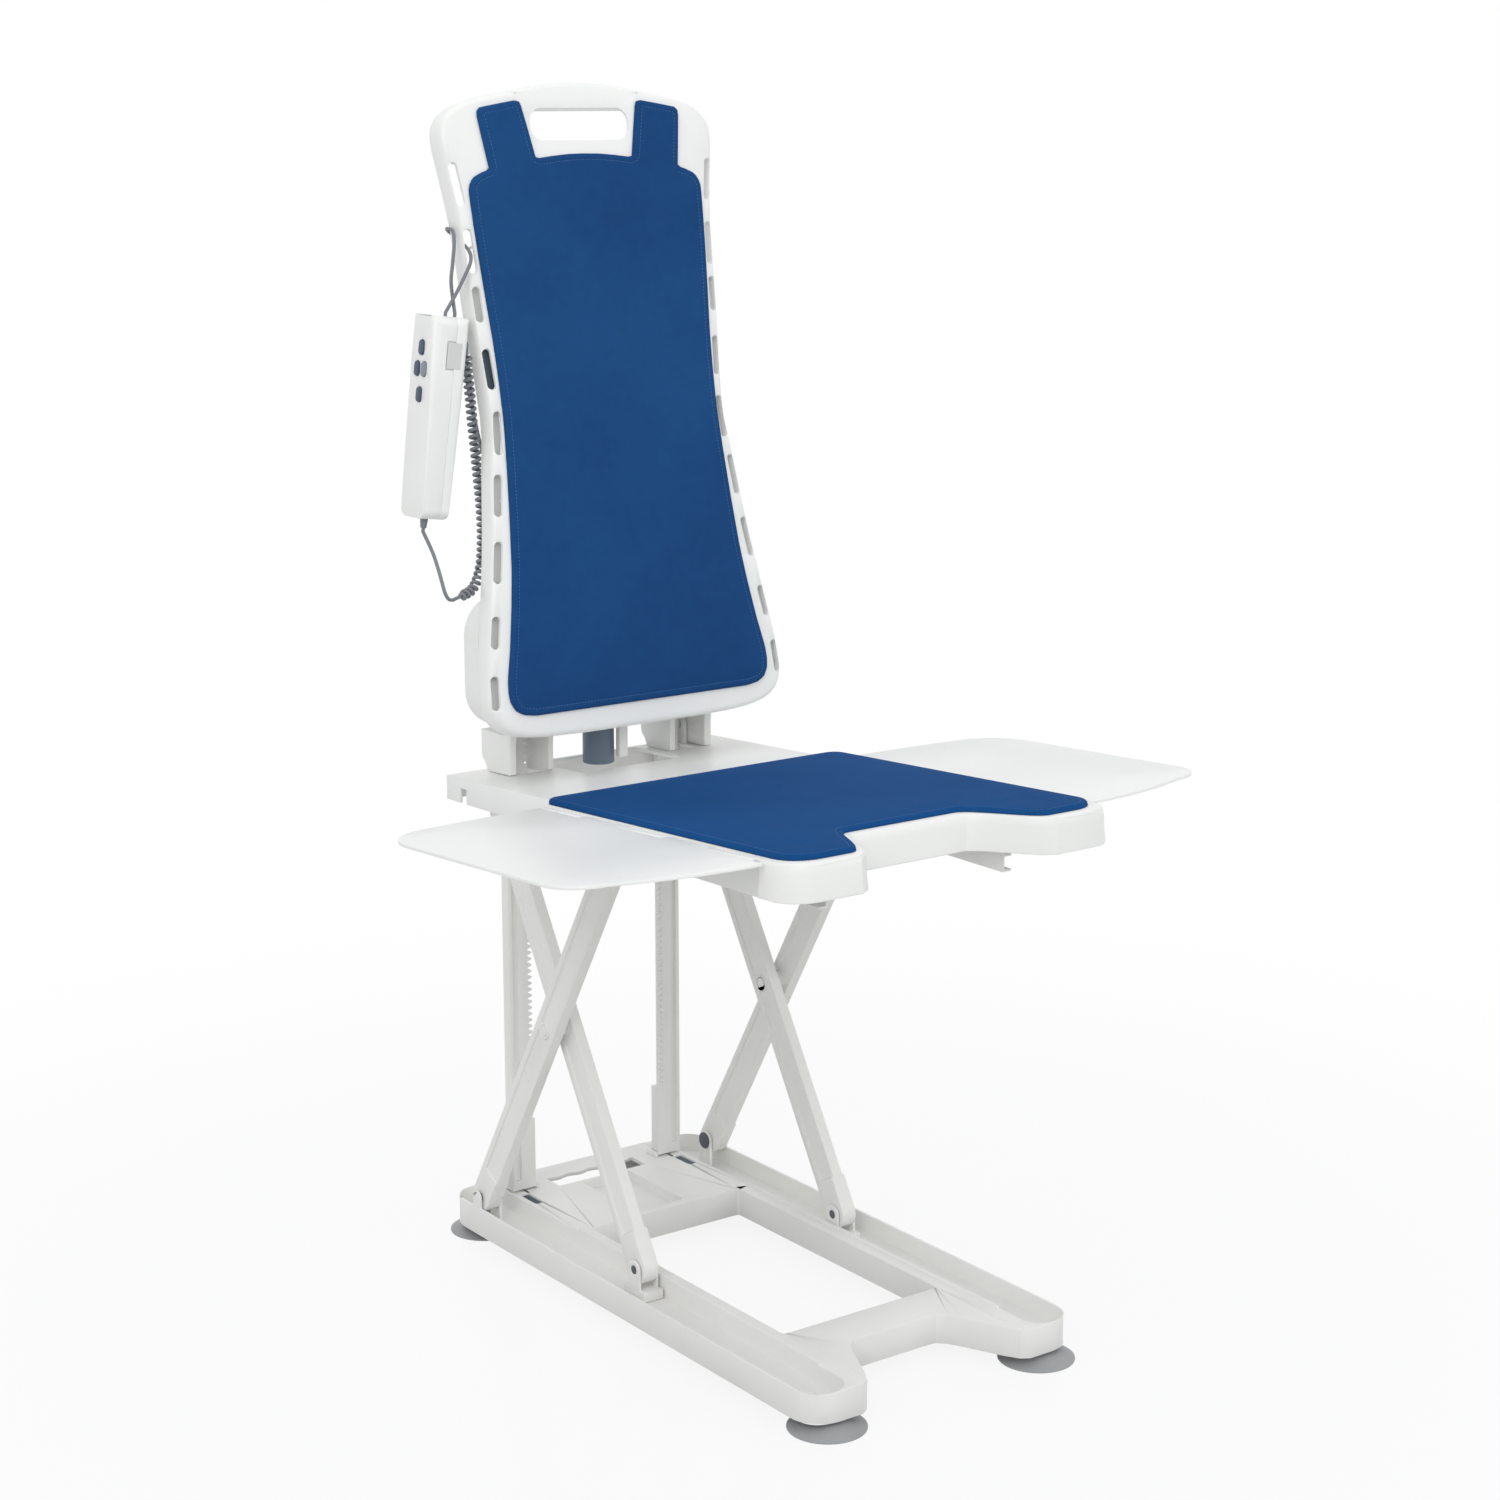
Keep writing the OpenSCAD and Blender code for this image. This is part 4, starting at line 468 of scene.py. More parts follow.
def measures_of(work):
    co = np.array([v.co for v in work.verts])
    return co.min(axis=0), co.max(axis=0), work.calc_volume(signed=True), sum(f.calc_area() for f in work.faces)


def on_joint(edge):
    """Whether an edge lies on one of the fine joints of the base."""
    return all(abs(abs(v.co.x) - BASE_JOINT_X) < ON_JOINT for v in edge.verts)


# Ways to round a node, best first: without the cuts across its flats or with them, and the share of the width.
# A way is kept where the node's volume and area stay within these shares of what they were.
ROUNDING_WAYS = ((True, 1), (True, 0.6), (True, 0.35), (False, 1), (False, 0.6), (False, 0.35), (False, 0))
VOLUME_SHARES = (0.93, 1.01)
AREA_SHARES = (0.88, 1.004)
FLAT_WITHIN = math.radians(0.8)
SMOOTH_WITHIN = math.radians(32)
SHARP_FROM = math.radians(40)
ROUND_STEPS = 2


def rounded(node, width, finish):
    """A copy of a CAD node whose sharp edges are rounded and whose curved faces are smooth."""
    for whole_flats, share in ROUNDING_WAYS:
        work = merged_form(node)
        low, high, bulk, area = measures_of(work)
        if whole_flats:
            bmesh.ops.dissolve_limit(work, angle_limit=FLAT_WITHIN, verts=work.verts, edges=work.edges)
        if share:
            hard = [
                e for e in work.edges
                if len(e.link_faces) == 2 and e.calc_face_angle(0) > SHARP_FROM
                and not (node == "base_frame" and on_joint(e))
            ]
            bmesh.ops.bevel(work, geom=hard, offset=width * share, segments=ROUND_STEPS, profile=0.5,
                            affect="EDGES", clamp_overlap=False, loop_slide=True)
        bmesh.ops.triangulate(work, faces=work.faces)
        new_low, new_high, new_bulk, new_area = measures_of(work)
        in_box = (new_low > low - BOX_SLACK).all() and (new_high < high + BOX_SLACK).all()
        bulk_held = VOLUME_SHARES[0] < new_bulk / bulk < VOLUME_SHARES[1]
        area_held = AREA_SHARES[0] < new_area / area < AREA_SHARES[1]
        if in_box and bulk_held and area_held:
            break
        if share:
            work.free()
    for face in work.faces:
        face.smooth = True
    for edge in work.edges:
        edge.smooth = len(edge.link_faces) == 2 and edge.calc_face_angle(0) < SMOOTH_WITHIN
    mesh = bpy.data.meshes.new(node + "_skin")
    work.to_mesh(mesh)
    work.free()
    mesh.materials.append(finishes[finish])
    piece = bpy.data.objects.new(node + "_skin", mesh)
    scene.collection.objects.link(piece)
    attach(piece, nodes[node]["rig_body"])
    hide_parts(node)
    return piece


# Pads
def distance_to(points, loop):
    """Distance of each point from the closed outline."""
    best = np.full(len(points), np.inf)
    for p, q in zip(loop, np.roll(loop, -1, axis=0)):
        d = q - p
        t = np.clip(((points - p) @ d) / max(d @ d, 1e-18), 0, 1)
        best = np.minimum(best, np.linalg.norm(points - (p + t[:, None] * d), axis=1))
    return best


def inside(points, loop):
    """Whether each point lies inside the closed outline."""
    x, y = points[:, 0], points[:, 1]
    odd = np.zeros(len(points), bool)
    for (x0, y0), (x1, y1) in zip(loop, np.roll(loop, -1, axis=0)):
        if y0 != y1:
            odd ^= ((y0 > y) != (y1 > y)) & (x < (x1 - x0) * (y - y0) / (y1 - y0) + x0)
    return odd


def even_loop(points, step):
    """The closed outline with points at even steps."""
    line = np.array(list(points) + [points[0]], float)
    run = run_of(line)
    count = int(round(run[-1] / step))
    at = np.linspace(0, run[-1], count, endpoint=False)
    return np.column_stack([np.interp(at, run, line[:, k]) for k in range(2)])


# Rings of points inside a pad's edge, in millimetres, then the pads' own sizes
EDGE_RINGS = (0.5, 1.3, 2.4, 3.8, 5.0, 5.8, 6.6, 7.4, 9.0, 12.0)
PAD_CELL = 8 * MM
PAD_THICK = 4.6 * MM
PAD_UNDER = 0.2 * MM
PAD_CREASE = 0.5 * MM
EDGE_ROLL = 3.4 * MM
SEWN_INSET, SEWN_WIDTH, SEWN_RISE = 6.2 * MM, 0.9 * MM, 4.15 * MM
HELD_WITHIN = 9 * MM
STUD_DIP, STUD_REACH = 0.5 * MM, 10 * MM
STUD_SWELL, SWELL_REACH, SWELL_WIDTH = 0.35 * MM, 12 * MM, 4 * MM
FILL_PRESSURE, FILL_MOST, FILL_FRAMES = 1.2, 1.4 * MM, 16


def pad_plan(loop, cell):
    """Points inside a pad's outline: rings near its edge, then an even field, and the triangles between them."""
    loop = even_loop(loop, cell * 0.6)
    way = np.roll(loop, -1, axis=0) - np.roll(loop, 1, axis=0)
    way /= np.linalg.norm(way, axis=1)[:, None]
    inward = np.column_stack((-way[:, 1], way[:, 0]))
    found = [loop]
    for ring in EDGE_RINGS:
        moved = loop + inward * ring * MM
        keep = inside(moved, loop) & (distance_to(moved, loop) > ring * MM - RING_SLACK)
        found.append(moved[keep])
    low, high = loop.min(axis=0), loop.max(axis=0)
    field = []
    rows = int((high[1] - low[1]) / (cell * 0.866)) + 1
    for r in range(rows):
        y = low[1] + r * cell * 0.866
        x = np.arange(low[0] + (r % 2) * cell / 2, high[0], cell)
        field.append(np.column_stack((x, np.full(len(x), y))))
    field = np.concatenate(field)
    field = field[inside(field, loop)]
    found.append(field[distance_to(field, loop) > (EDGE_RINGS[-1] + 2) * MM])
    points = np.concatenate(found)
    count = len(loop)
    edges = [(i, (i + 1) % count) for i in range(count)]
    made = geometry.delaunay_2d_cdt([Vector(p) for p in points], edges, [list(range(count))], 1, 1e-7)
    return np.array([list(v) for v in made[0]]), [list(f) for f in made[2]], count


def pad_form(name, loop, place, cell, thick, studs, crease):
    """A padded cover: a rounded edge, a sewn line beside it, and a soft rise between its fixings."""
    flat, faces, count = pad_plan(np.array(loop, float) * MM, cell)
    edge = distance_to(flat, even_loop(np.array(loop, float) * MM, cell * 0.6))
    roll = np.clip(edge / EDGE_ROLL, 0, 1)
    rise = thick * (0.25 + 0.75 * np.sqrt(1 - (1 - roll) ** 2))
    rise -= crease * np.exp(-(((edge - SEWN_INSET) / SEWN_WIDTH) ** 2))
    for x, y in studs:
        away = np.hypot(flat[:, 0] - x * MM, flat[:, 1] - y * MM)
        rise -= STUD_DIP * np.exp(-((away / STUD_REACH) ** 2))
        rise += STUD_SWELL * np.exp(-(((away - SWELL_REACH) / SWELL_WIDTH) ** 2))
    n = len(flat)
    points = [place(x, y, h) for (x, y), h in zip(flat, rise)] + [place(x, y, PAD_UNDER) for x, y in flat]
    turned = [f[::-1] if np.cross(flat[f[1]] - flat[f[0]], flat[f[2]] - flat[f[0]]) < 0 else f for f in faces]
    used = {}
    for f in turned:
        for a, b in zip(f, f[1:] + f[:1]):
            used[(a, b)] = True
    border = [(a, b) for a, b in used if (b, a) not in used]
    skin = list(turned) + [[i + n for i in f[::-1]] for f in turned] + [[b, a, a + n, b + n] for a, b in border]
    piece = add_mesh(name, points, skin)
    pinned = [i for i in range(n) if edge[i] < HELD_WITHIN] + list(range(n, 2 * n))
    for x, y in studs:
        away = np.hypot(flat[:, 0] - x * MM, flat[:, 1] - y * MM)
        pinned += [i for i in range(n) if away[i] < HELD_WITHIN and edge[i] >= HELD_WITHIN]
    return piece, pinned


def puff(piece, pinned, pressure, most):
    """Lets the cover rise under its filling, held along its seam and its fixings."""
    start = np.zeros(len(piece.data.vertices) * 3)
    piece.data.vertices.foreach_get("co", start)
    held = piece.vertex_groups.new(name="held")
    held.add(pinned, 1.0, "REPLACE")
    cloth = piece.modifiers.new("filling", "CLOTH")
    cloth.settings.quality = 4
    cloth.settings.mass = 0.2
    cloth.settings.vertex_group_mass = "held"
    cloth.settings.use_pressure = True
    cloth.settings.uniform_pressure_force = pressure
    cloth.settings.effector_weights.gravity = 0
    cloth.settings.tension_stiffness = 12
    cloth.settings.compression_stiffness = 12
    cloth.settings.bending_stiffness = 0.6
    cloth.collision_settings.use_collision = False
    cloth.point_cache.frame_start, cloth.point_cache.frame_end = 1, FILL_FRAMES
    for f in range(1, FILL_FRAMES + 1):
        scene.frame_set(f)
    seen = piece.evaluated_get(bpy.context.evaluated_depsgraph_get())
    moved = np.zeros(len(start))
    seen.data.vertices.foreach_get("co", moved)
    piece.modifiers.remove(cloth)
    piece.vertex_groups.clear()
    scene.frame_set(1)
    step = (moved - start).reshape(-1, 3)
    size = np.linalg.norm(step, axis=1)
    step *= (most * np.tanh(size / most) / np.maximum(size, 1e-9))[:, None]
    piece.data.vertices.foreach_set("co", start + step.ravel())
    piece.data.update()


def mirrored(side):
    """A closed outline from the points of its right half, bottom to top."""
    return side + [(-x, y) for x, y in reversed(side) if x > 0]


# Right half of the backrest pad's outline, with its strap, across and up the lean in millimetres
BACK_PAD_SIDE = [
    (0, -6), (100, -6), (122, -6), (134, -4), (142, 0), (147, 8), (148.5, 17), (147.5, 30), (141, 60),
    (134.5, 98), (130, 131), (126, 178), (122.8, 225), (121, 258), (120.6, 275), (121, 305), (122.2, 340),
    (125, 380), (127.5, 420), (129, 450), (130, 476), (129.6, 483), (127, 489), (122, 493.5), (113, 497.5),
    (105.5, 499.5), (109, 524), (112.4, 548), (112.2, 553), (108.5, 556.5), (88, 560), (70, 562.8),
    (66.2, 562), (64.4, 558), (59.5, 535), (54.6, 510), (51, 509.2), (36, 511), (18, 512.6), (0, 513),
]


# Seat pad in millimetres: half its width, its front and rear, the recess and the corners' radii
SEAT_PAD_HALF, SEAT_PAD_FRONT, SEAT_PAD_REAR = 168, -293, 82
RECESS_DEPTH, RECESS_FLAT, RECESS_FLANK = 68, 60, 47
FRONT_CORNER, REAR_CORNER = 28, 14


def seat_recess(x):
    """How far the pad's front edge stands back at a place across the seat."""
    t = min(max((abs(x) - RECESS_FLAT) / RECESS_FLANK, 0), 1)
    return RECESS_DEPTH * (1 - t * t * (3 - 2 * t))


def quarter(step):
    """Sine and cosine at even steps of a quarter turn, in degrees."""
    return [(math.sin(math.radians(a)), math.cos(math.radians(a))) for a in range(0, 91, step)]


SEAT_PAD_SIDE = (
    [(x, SEAT_PAD_FRONT + seat_recess(x)) for x in range(0, SEAT_PAD_HALF - FRONT_CORNER, 4)]
    + [(SEAT_PAD_HALF - FRONT_CORNER + FRONT_CORNER * s, SEAT_PAD_FRONT + FRONT_CORNER - FRONT_CORNER * c)
       for s, c in quarter(10)]
    + [(SEAT_PAD_HALF, y) for y in range(-255, 66, 10)]
    + [(SEAT_PAD_HALF - REAR_CORNER + REAR_CORNER * c, SEAT_PAD_REAR - REAR_CORNER + REAR_CORNER * s)
       for s, c in quarter(15)]
    + [(x, SEAT_PAD_REAR) for x in (100, 50, 0)]
)


def on_back_pad(x, y, rise):
    return on_back(x, BACK_PAD_BED - rise, y)


def on_seat_pad(x, y, rise):
    return on_seat(x, y, SEAT_PAD_BED + rise)


# Each pad's body, outline, place, finish and fixings; the beds are where a pad's underside lies
BACK_PAD_BED = 1.85 * MM
SEAT_PAD_BED = 0.15 * MM
PADS = (
    ("backrest", BACK_PAD_SIDE, on_back_pad, "pad_back",
     [(-112, 24), (112, 24), (-88, 540), (88, 540), (-100, 450), (100, 450)]),
    ("seat", SEAT_PAD_SIDE, on_seat_pad, "pad_seat", [(-130, 50), (130, 50), (-130, -250), (130, -250)]),
)


def make_pads():
    sewn = make_stitch_layout()
    for body, side, place, finish, studs in PADS:
        pad, held = pad_form(body + "_cover", mirrored(side), place, PAD_CELL, PAD_THICK, studs, PAD_CREASE)
        puff(pad, held, FILL_PRESSURE, FILL_MOST)
        pad.data.materials.append(finishes[finish])
        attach(pad, body)
        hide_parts(body + "_pad")
    for body, side, place, _, _ in PADS:
        guide = sewn_guide(body + "_stitch_guide", mirrored(side), SEWN_INSET, place, SEWN_RISE)
        laid_out(body + "_stitches", guide, sewn, {"Finish": finishes["thread_blue"]}, body)


# Repeated details, laid out by Geometry Nodes
def new_layout(name, inputs):
    tree = bpy.data.node_groups.new(name, "GeometryNodeTree")
    tree.interface.new_socket("Geometry", in_out="INPUT", socket_type="NodeSocketGeometry")
    for label, kind, value in inputs:
        socket = tree.interface.new_socket(label, in_out="INPUT", socket_type=kind)
        if value is not None:
            socket.default_value = value
    tree.interface.new_socket("Geometry", in_out="OUTPUT", socket_type="NodeSocketGeometry")
    return tree, tree.nodes.new("NodeGroupInput"), tree.nodes.new("NodeGroupOutput")


def end_layout(tree, given, out, instances):
    """Every layout ends in real geometry that carries its finish."""
    real = tree.nodes.new("GeometryNodeRealizeInstances")
    paint = tree.nodes.new("GeometryNodeSetMaterial")
    join(tree, instances, real.inputs["Geometry"])
    join(tree, real.outputs["Geometry"], paint.inputs["Geometry"])
    join(tree, given.outputs["Finish"], paint.inputs["Material"])
    join(tree, paint.outputs["Geometry"], out.inputs["Geometry"])


def make_stitch_layout():
    """Stitches along a sewn line: one short thread bead for each step, turned along the line."""
    tree, given, out = new_layout("sewn_line", [
        ("Step", "NodeSocketFloat", 0.0034), ("Thread radius", "NodeSocketFloat", 0.00035),
        ("Stretch", "NodeSocketFloat", 3.4), ("Finish", "NodeSocketMaterial", None)])
    steps = tree.nodes.new("GeometryNodeResampleCurve")
    steps.mode = "LENGTH"
    join(tree, given.outputs["Geometry"], steps.inputs["Curve"])
    join(tree, given.outputs["Step"], steps.inputs["Length"])
    way = tree.nodes.new("GeometryNodeInputTangent")
    turn = tree.nodes.new("FunctionNodeAlignRotationToVector")
    turn.axis = "Z"
    join(tree, way.outputs["Tangent"], turn.inputs["Vector"])
    bead = tree.nodes.new("GeometryNodeMeshUVSphere")
    bead.inputs["Segments"].default_value = 6
    bead.inputs["Rings"].default_value = 5
    join(tree, given.outputs["Thread radius"], bead.inputs["Radius"])
    sizes = tree.nodes.new("ShaderNodeCombineXYZ")
    sizes.inputs["X"].default_value = 1.0
    sizes.inputs["Y"].default_value = 1.0
    join(tree, given.outputs["Stretch"], sizes.inputs["Z"])
    place = tree.nodes.new("GeometryNodeInstanceOnPoints")
    join(tree, steps.outputs["Curve"], place.inputs["Points"])
    join(tree, bead.outputs["Mesh"], place.inputs["Instance"])
    join(tree, turn.outputs["Rotation"], place.inputs["Rotation"])
    join(tree, sizes.outputs["Vector"], place.inputs["Scale"])
    end_layout(tree, given, out, place.outputs["Instances"])
    return tree


def make_rib_layout():
    """Ribs along the edges it is given: each edge becomes one upright rib of the same section."""
    tree, given, out = new_layout("rib_field", [
        ("Thickness", "NodeSocketFloat", 0.0022), ("Height", "NodeSocketFloat", 0.009),
        ("Finish", "NodeSocketMaterial", None)])
    lines = tree.nodes.new("GeometryNodeMeshToCurve")
    join(tree, given.outputs["Geometry"], lines.inputs["Mesh"])
    upright = tree.nodes.new("GeometryNodeSetCurveNormal")
    upright.mode = "FREE"
    upright.inputs["Normal"].default_value = (0, math.cos(BACK_LEAN), -math.sin(BACK_LEAN))
    join(tree, lines.outputs["Curve"], upright.inputs["Curve"])
    section = tree.nodes.new("GeometryNodeCurvePrimitiveQuadrilateral")
    join(tree, given.outputs["Height"], section.inputs["Width"])
    join(tree, given.outputs["Thickness"], section.inputs["Height"])
    sweep = tree.nodes.new("GeometryNodeCurveToMesh")
    sweep.inputs["Fill Caps"].default_value = True
    join(tree, upright.outputs["Curve"], sweep.inputs["Curve"])
    join(tree, section.outputs["Curve"], sweep.inputs["Profile Curve"])
    end_layout(tree, given, out, sweep.outputs["Mesh"])
    return tree


def laid_out(name, maker, layout, values, body):
    """Runs a layout on its guide lines and keeps the result as one plain mesh on a body."""
    modifier = maker.modifiers.new("layout", "NODES")
    modifier.node_group = layout
    named = {item.name: item.identifier for item in layout.interface.items_tree if item.in_out == "INPUT"}
    for label, value in values.items():
        modifier[named[label]] = value
    scene.collection.objects.link(maker)
    piece = plain_mesh(maker, name)
    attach(piece, body)
    return piece


def sewn_guide(name, loop, inset, place, height):
    """A closed guide line inside a pad's outline, on top of its cover."""
    loop = even_loop(np.array(loop, float) * MM, 2.5 * MM)
    way = np.roll(loop, -1, axis=0) - np.roll(loop, 1, axis=0)
    way /= np.linalg.norm(way, axis=1)[:, None]
    moved = loop + np.column_stack((-way[:, 1], way[:, 0])) * inset
    moved = moved[inside(moved, loop) & (distance_to(moved, loop) > inset - RING_SLACK)]
    data = bpy.data.curves.new(name, "CURVE")
    data.dimensions = "3D"
    line = data.splines.new("POLY")
    line.points.add(len(moved) - 1)
    line.points.foreach_set("co", [c for x, y in moved for c in (*place(x, y, height), 1)])
    line.use_cyclic_u = True
    return bpy.data.objects.new(name, data)


# Half outline of the backrest, as shares of its half width and height, and those sizes in millimetres
BACK_HALF_W, BACK_H, BACK_DROP = 167, 610, 29
BACK_OUTLINE = [
    (0, 0), (0.36, 0), (0.72, 0.004), (0.91, 0.018), (0.994, 0.048), (0.997, 0.089), (0.97, 0.146), (0.885, 0.282),
    (0.822, 0.418), (0.793, 0.497), (0.826, 0.649), (0.849, 0.784), (0.886, 0.861), (0.91, 0.916), (0.88, 0.944),
]


def back_half(s):
    """Half the width of the backrest at a height along its lean, in millimetres."""
    side = np.array(curve_through([(BACK_HALF_W * w, BACK_H * h - BACK_DROP) for w, h in BACK_OUTLINE], 6))
    side = side[side[:, 1] > -12]
    return float(np.interp(s, side[:, 1], side[:, 0]))


# Ribs of the back in millimetres: heights of the cross ribs, places and run of the upright ones, inset and depth
CROSS_RIBS = (40, 118, 196, 274, 352, 430, 508)
UPRIGHT_RIBS, UPRIGHT_RUN = (-108, -54, 0, 54, 108), (-14, 512)
RIB_INSET, RIB_DEPTH, RIB_H = 12, 9.4, 9


def make_back_ribs():
    lines = [((-back_half(s) + RIB_INSET, s), (back_half(s) - RIB_INSET, s)) for s in CROSS_RIBS]
    lines += [tuple((x, s) for s in UPRIGHT_RUN) for x in UPRIGHT_RIBS]
    points = [on_back(x * MM, RIB_DEPTH * MM, s * MM) for line in lines for x, s in line]
    mesh = bpy.data.meshes.new("back_rib_lines")
    mesh.from_pydata([tuple(p) for p in points], [(i, i + 1) for i in range(0, len(points), 2)], [])
    maker = bpy.data.objects.new("back_rib_lines", mesh)
    values = {"Height": RIB_H * MM, "Finish": finishes["shell_white"]}
    laid_out("back_ribs", maker, make_rib_layout(), values, "backrest")


def slab(name, low_side, high_side, place, off, thick, finish, body):
    """A thin plate between two edges given as points of the same count, with its edges rounded."""
    n = len(low_side)
    flat = list(low_side) + list(high_side)
    points = [place(x, y, off) for x, y in flat] + [place(x, y, off + thick) for x, y in flat]
    faces = []
    for i in range(n - 1):
        faces += [(i, i + 1, n + i + 1, n + i), (2 * n + i, 3 * n + i, 3 * n + i + 1, 2 * n + i + 1)]
        faces += [(i, 2 * n + i, 2 * n + i + 1, i + 1), (n + i, n + i + 1, 3 * n + i + 1, 3 * n + i)]
    faces += [(0, n, 3 * n, 2 * n), (n - 1, 3 * n - 1, 4 * n - 1, 2 * n - 1)]
    work = bmesh.new()
    made = [work.verts.new(p) for p in points]
    for face in faces:
        work.faces.new([made[i] for i in face])
    bmesh.ops.recalc_face_normals(work, faces=work.faces)
    hard = [e for e in work.edges if e.calc_face_angle(0) > SHARP_FROM]
    bmesh.ops.bevel(work, geom=hard, offset=0.25 * thick, segments=ROUND_STEPS, profile=0.5, affect="EDGES",
                    clamp_overlap=True)
    mesh = bpy.data.meshes.new(name)
    work.to_mesh(mesh)
    work.free()
    mesh.materials.append(finishes[finish])
    piece = bpy.data.objects.new(name, mesh)
    scene.collection.objects.link(piece)
    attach(piece, body)
    return piece


# Sheets of painted shade in millimetres: edges inside the backrest's outline, runs, depths and thicknesses
STRIP_EDGES, STRIP_ROWS, STRIP_THICK = (2.7, 13), 26, 1.1
SLOT_RUN, SLOT_DEPTH = (-2, 396), 10.2
SHADE_RUN, SHADE_DEPTH = (296, 338), 8.8
POCKET_SHADE_X, POCKET_SHADE_Y, POCKET_SHADE_Z, POCKET_SHADE_THICK = (88.4, 97.0), (219, 247), 37.05, 1.2
HANDSET_SHADE_X, HANDSET_SHADE_Z, HANDSET_SHADE_FRONT, HANDSET_SHADE_THICK = (-3.4, 11.5), (46, 70), 20.4, 0.9
PLATE_ROWS = 8


def back_strip(name, side, run, depth, finish):
    """A strip of painted shade behind the slots of one border of the backrest."""
    rows = np.linspace(*run, STRIP_ROWS)
    outer, inner = [[(side * (back_half(s) - inset) * MM, s * MM) for s in rows] for inset in STRIP_EDGES]
    slab(name, outer, inner, lambda x, y, off: on_back(x, off, y), depth * MM, STRIP_THICK * MM, finish,
         "backrest")


def make_shade_sheets():
    """Sheets of painted shade: grey strips behind the border's slots, a darker strip over part of the left slots,
    dark sheets in the base's small pockets, and a grey sheet on the handset's small recess.
    """
    for side, word in ((-1, "left"), (1, "right")):
        # Painted shade: a grey strip behind each border's slots makes them look shaded inside
        back_strip("slot_back_" + word, side, SLOT_RUN, SLOT_DEPTH, "painted_shade_grey")
        # Painted shade: on the left, a darker strip over part of the border's slots
        if side < 0:
            back_strip("slot_shade_" + word, side, SHADE_RUN, SHADE_DEPTH, "painted_shade_dark")
        # Painted shade: a dark sheet at the bottom of each of the base's small pockets
        rows = np.linspace(*POCKET_SHADE_Y, PLATE_ROWS) * MM
        inner, outer = [[(side * x * MM, v) for v in rows] for x in POCKET_SHADE_X]
        slab("pocket_shade_" + word, inner, outer, lambda x, y, off: Vector((x, y, off)), POCKET_SHADE_Z * MM,
             POCKET_SHADE_THICK * MM, "painted_shade_dark", "base")
    # Painted shade: a grey sheet on the handset's small recess
    rows = np.linspace(*HANDSET_SHADE_Z, PLATE_ROWS) * MM
    left, right = [[(x * MM, v) for v in rows] for x in HANDSET_SHADE_X]
    slab("handset_recess_shade", left, right, lambda x, z, off: Vector(on_handset((x, -off, z))), HANDSET_SHADE_FRONT * MM,
         HANDSET_SHADE_THICK * MM, "painted_shade_grey", "backrest")


# Floor, lamps and background. The floor glows white to the camera, less so near the object, where it keeps its
# shadow. Each lamp has a place, a size in metres and a power in watts.
FLOOR_REACH = 9
FLOOR_GREY = (0.66, 0.66, 0.66, 1)
FLOOR_ROUGHNESS = 0.16
FLOOR_GLOW = {"From Min": 0.45, "From Max": 1.5, "To Min": 0.88, "To Max": 1.0}
SKY_COLOUR, SKY_STRENGTH = (0.95, 0.975, 1.0, 1), 0.74
LAMP_AIM = (0, 0, 0.5)
LAMPS = (
    ("key_lamp", (-2.7, -1.9, 2.4), 2.4, 40),
    ("fill_lamp", (1.8, -2.7, 1.7), 2.4, 20),
    ("top_lamp", (-0.2, 0.2, 3.4), 2.6, 14),
)


def seen_share(tree):
    """1 where the camera sees a surface, directly, in gloss or through glass."""
    path = tree.nodes.new("ShaderNodeLightPath")
    seen = math_node(tree, "MAXIMUM", path.outputs["Is Camera Ray"], path.outputs["Is Glossy Ray"])
    return math_node(tree, "MAXIMUM", seen, path.outputs["Is Transmission Ray"])


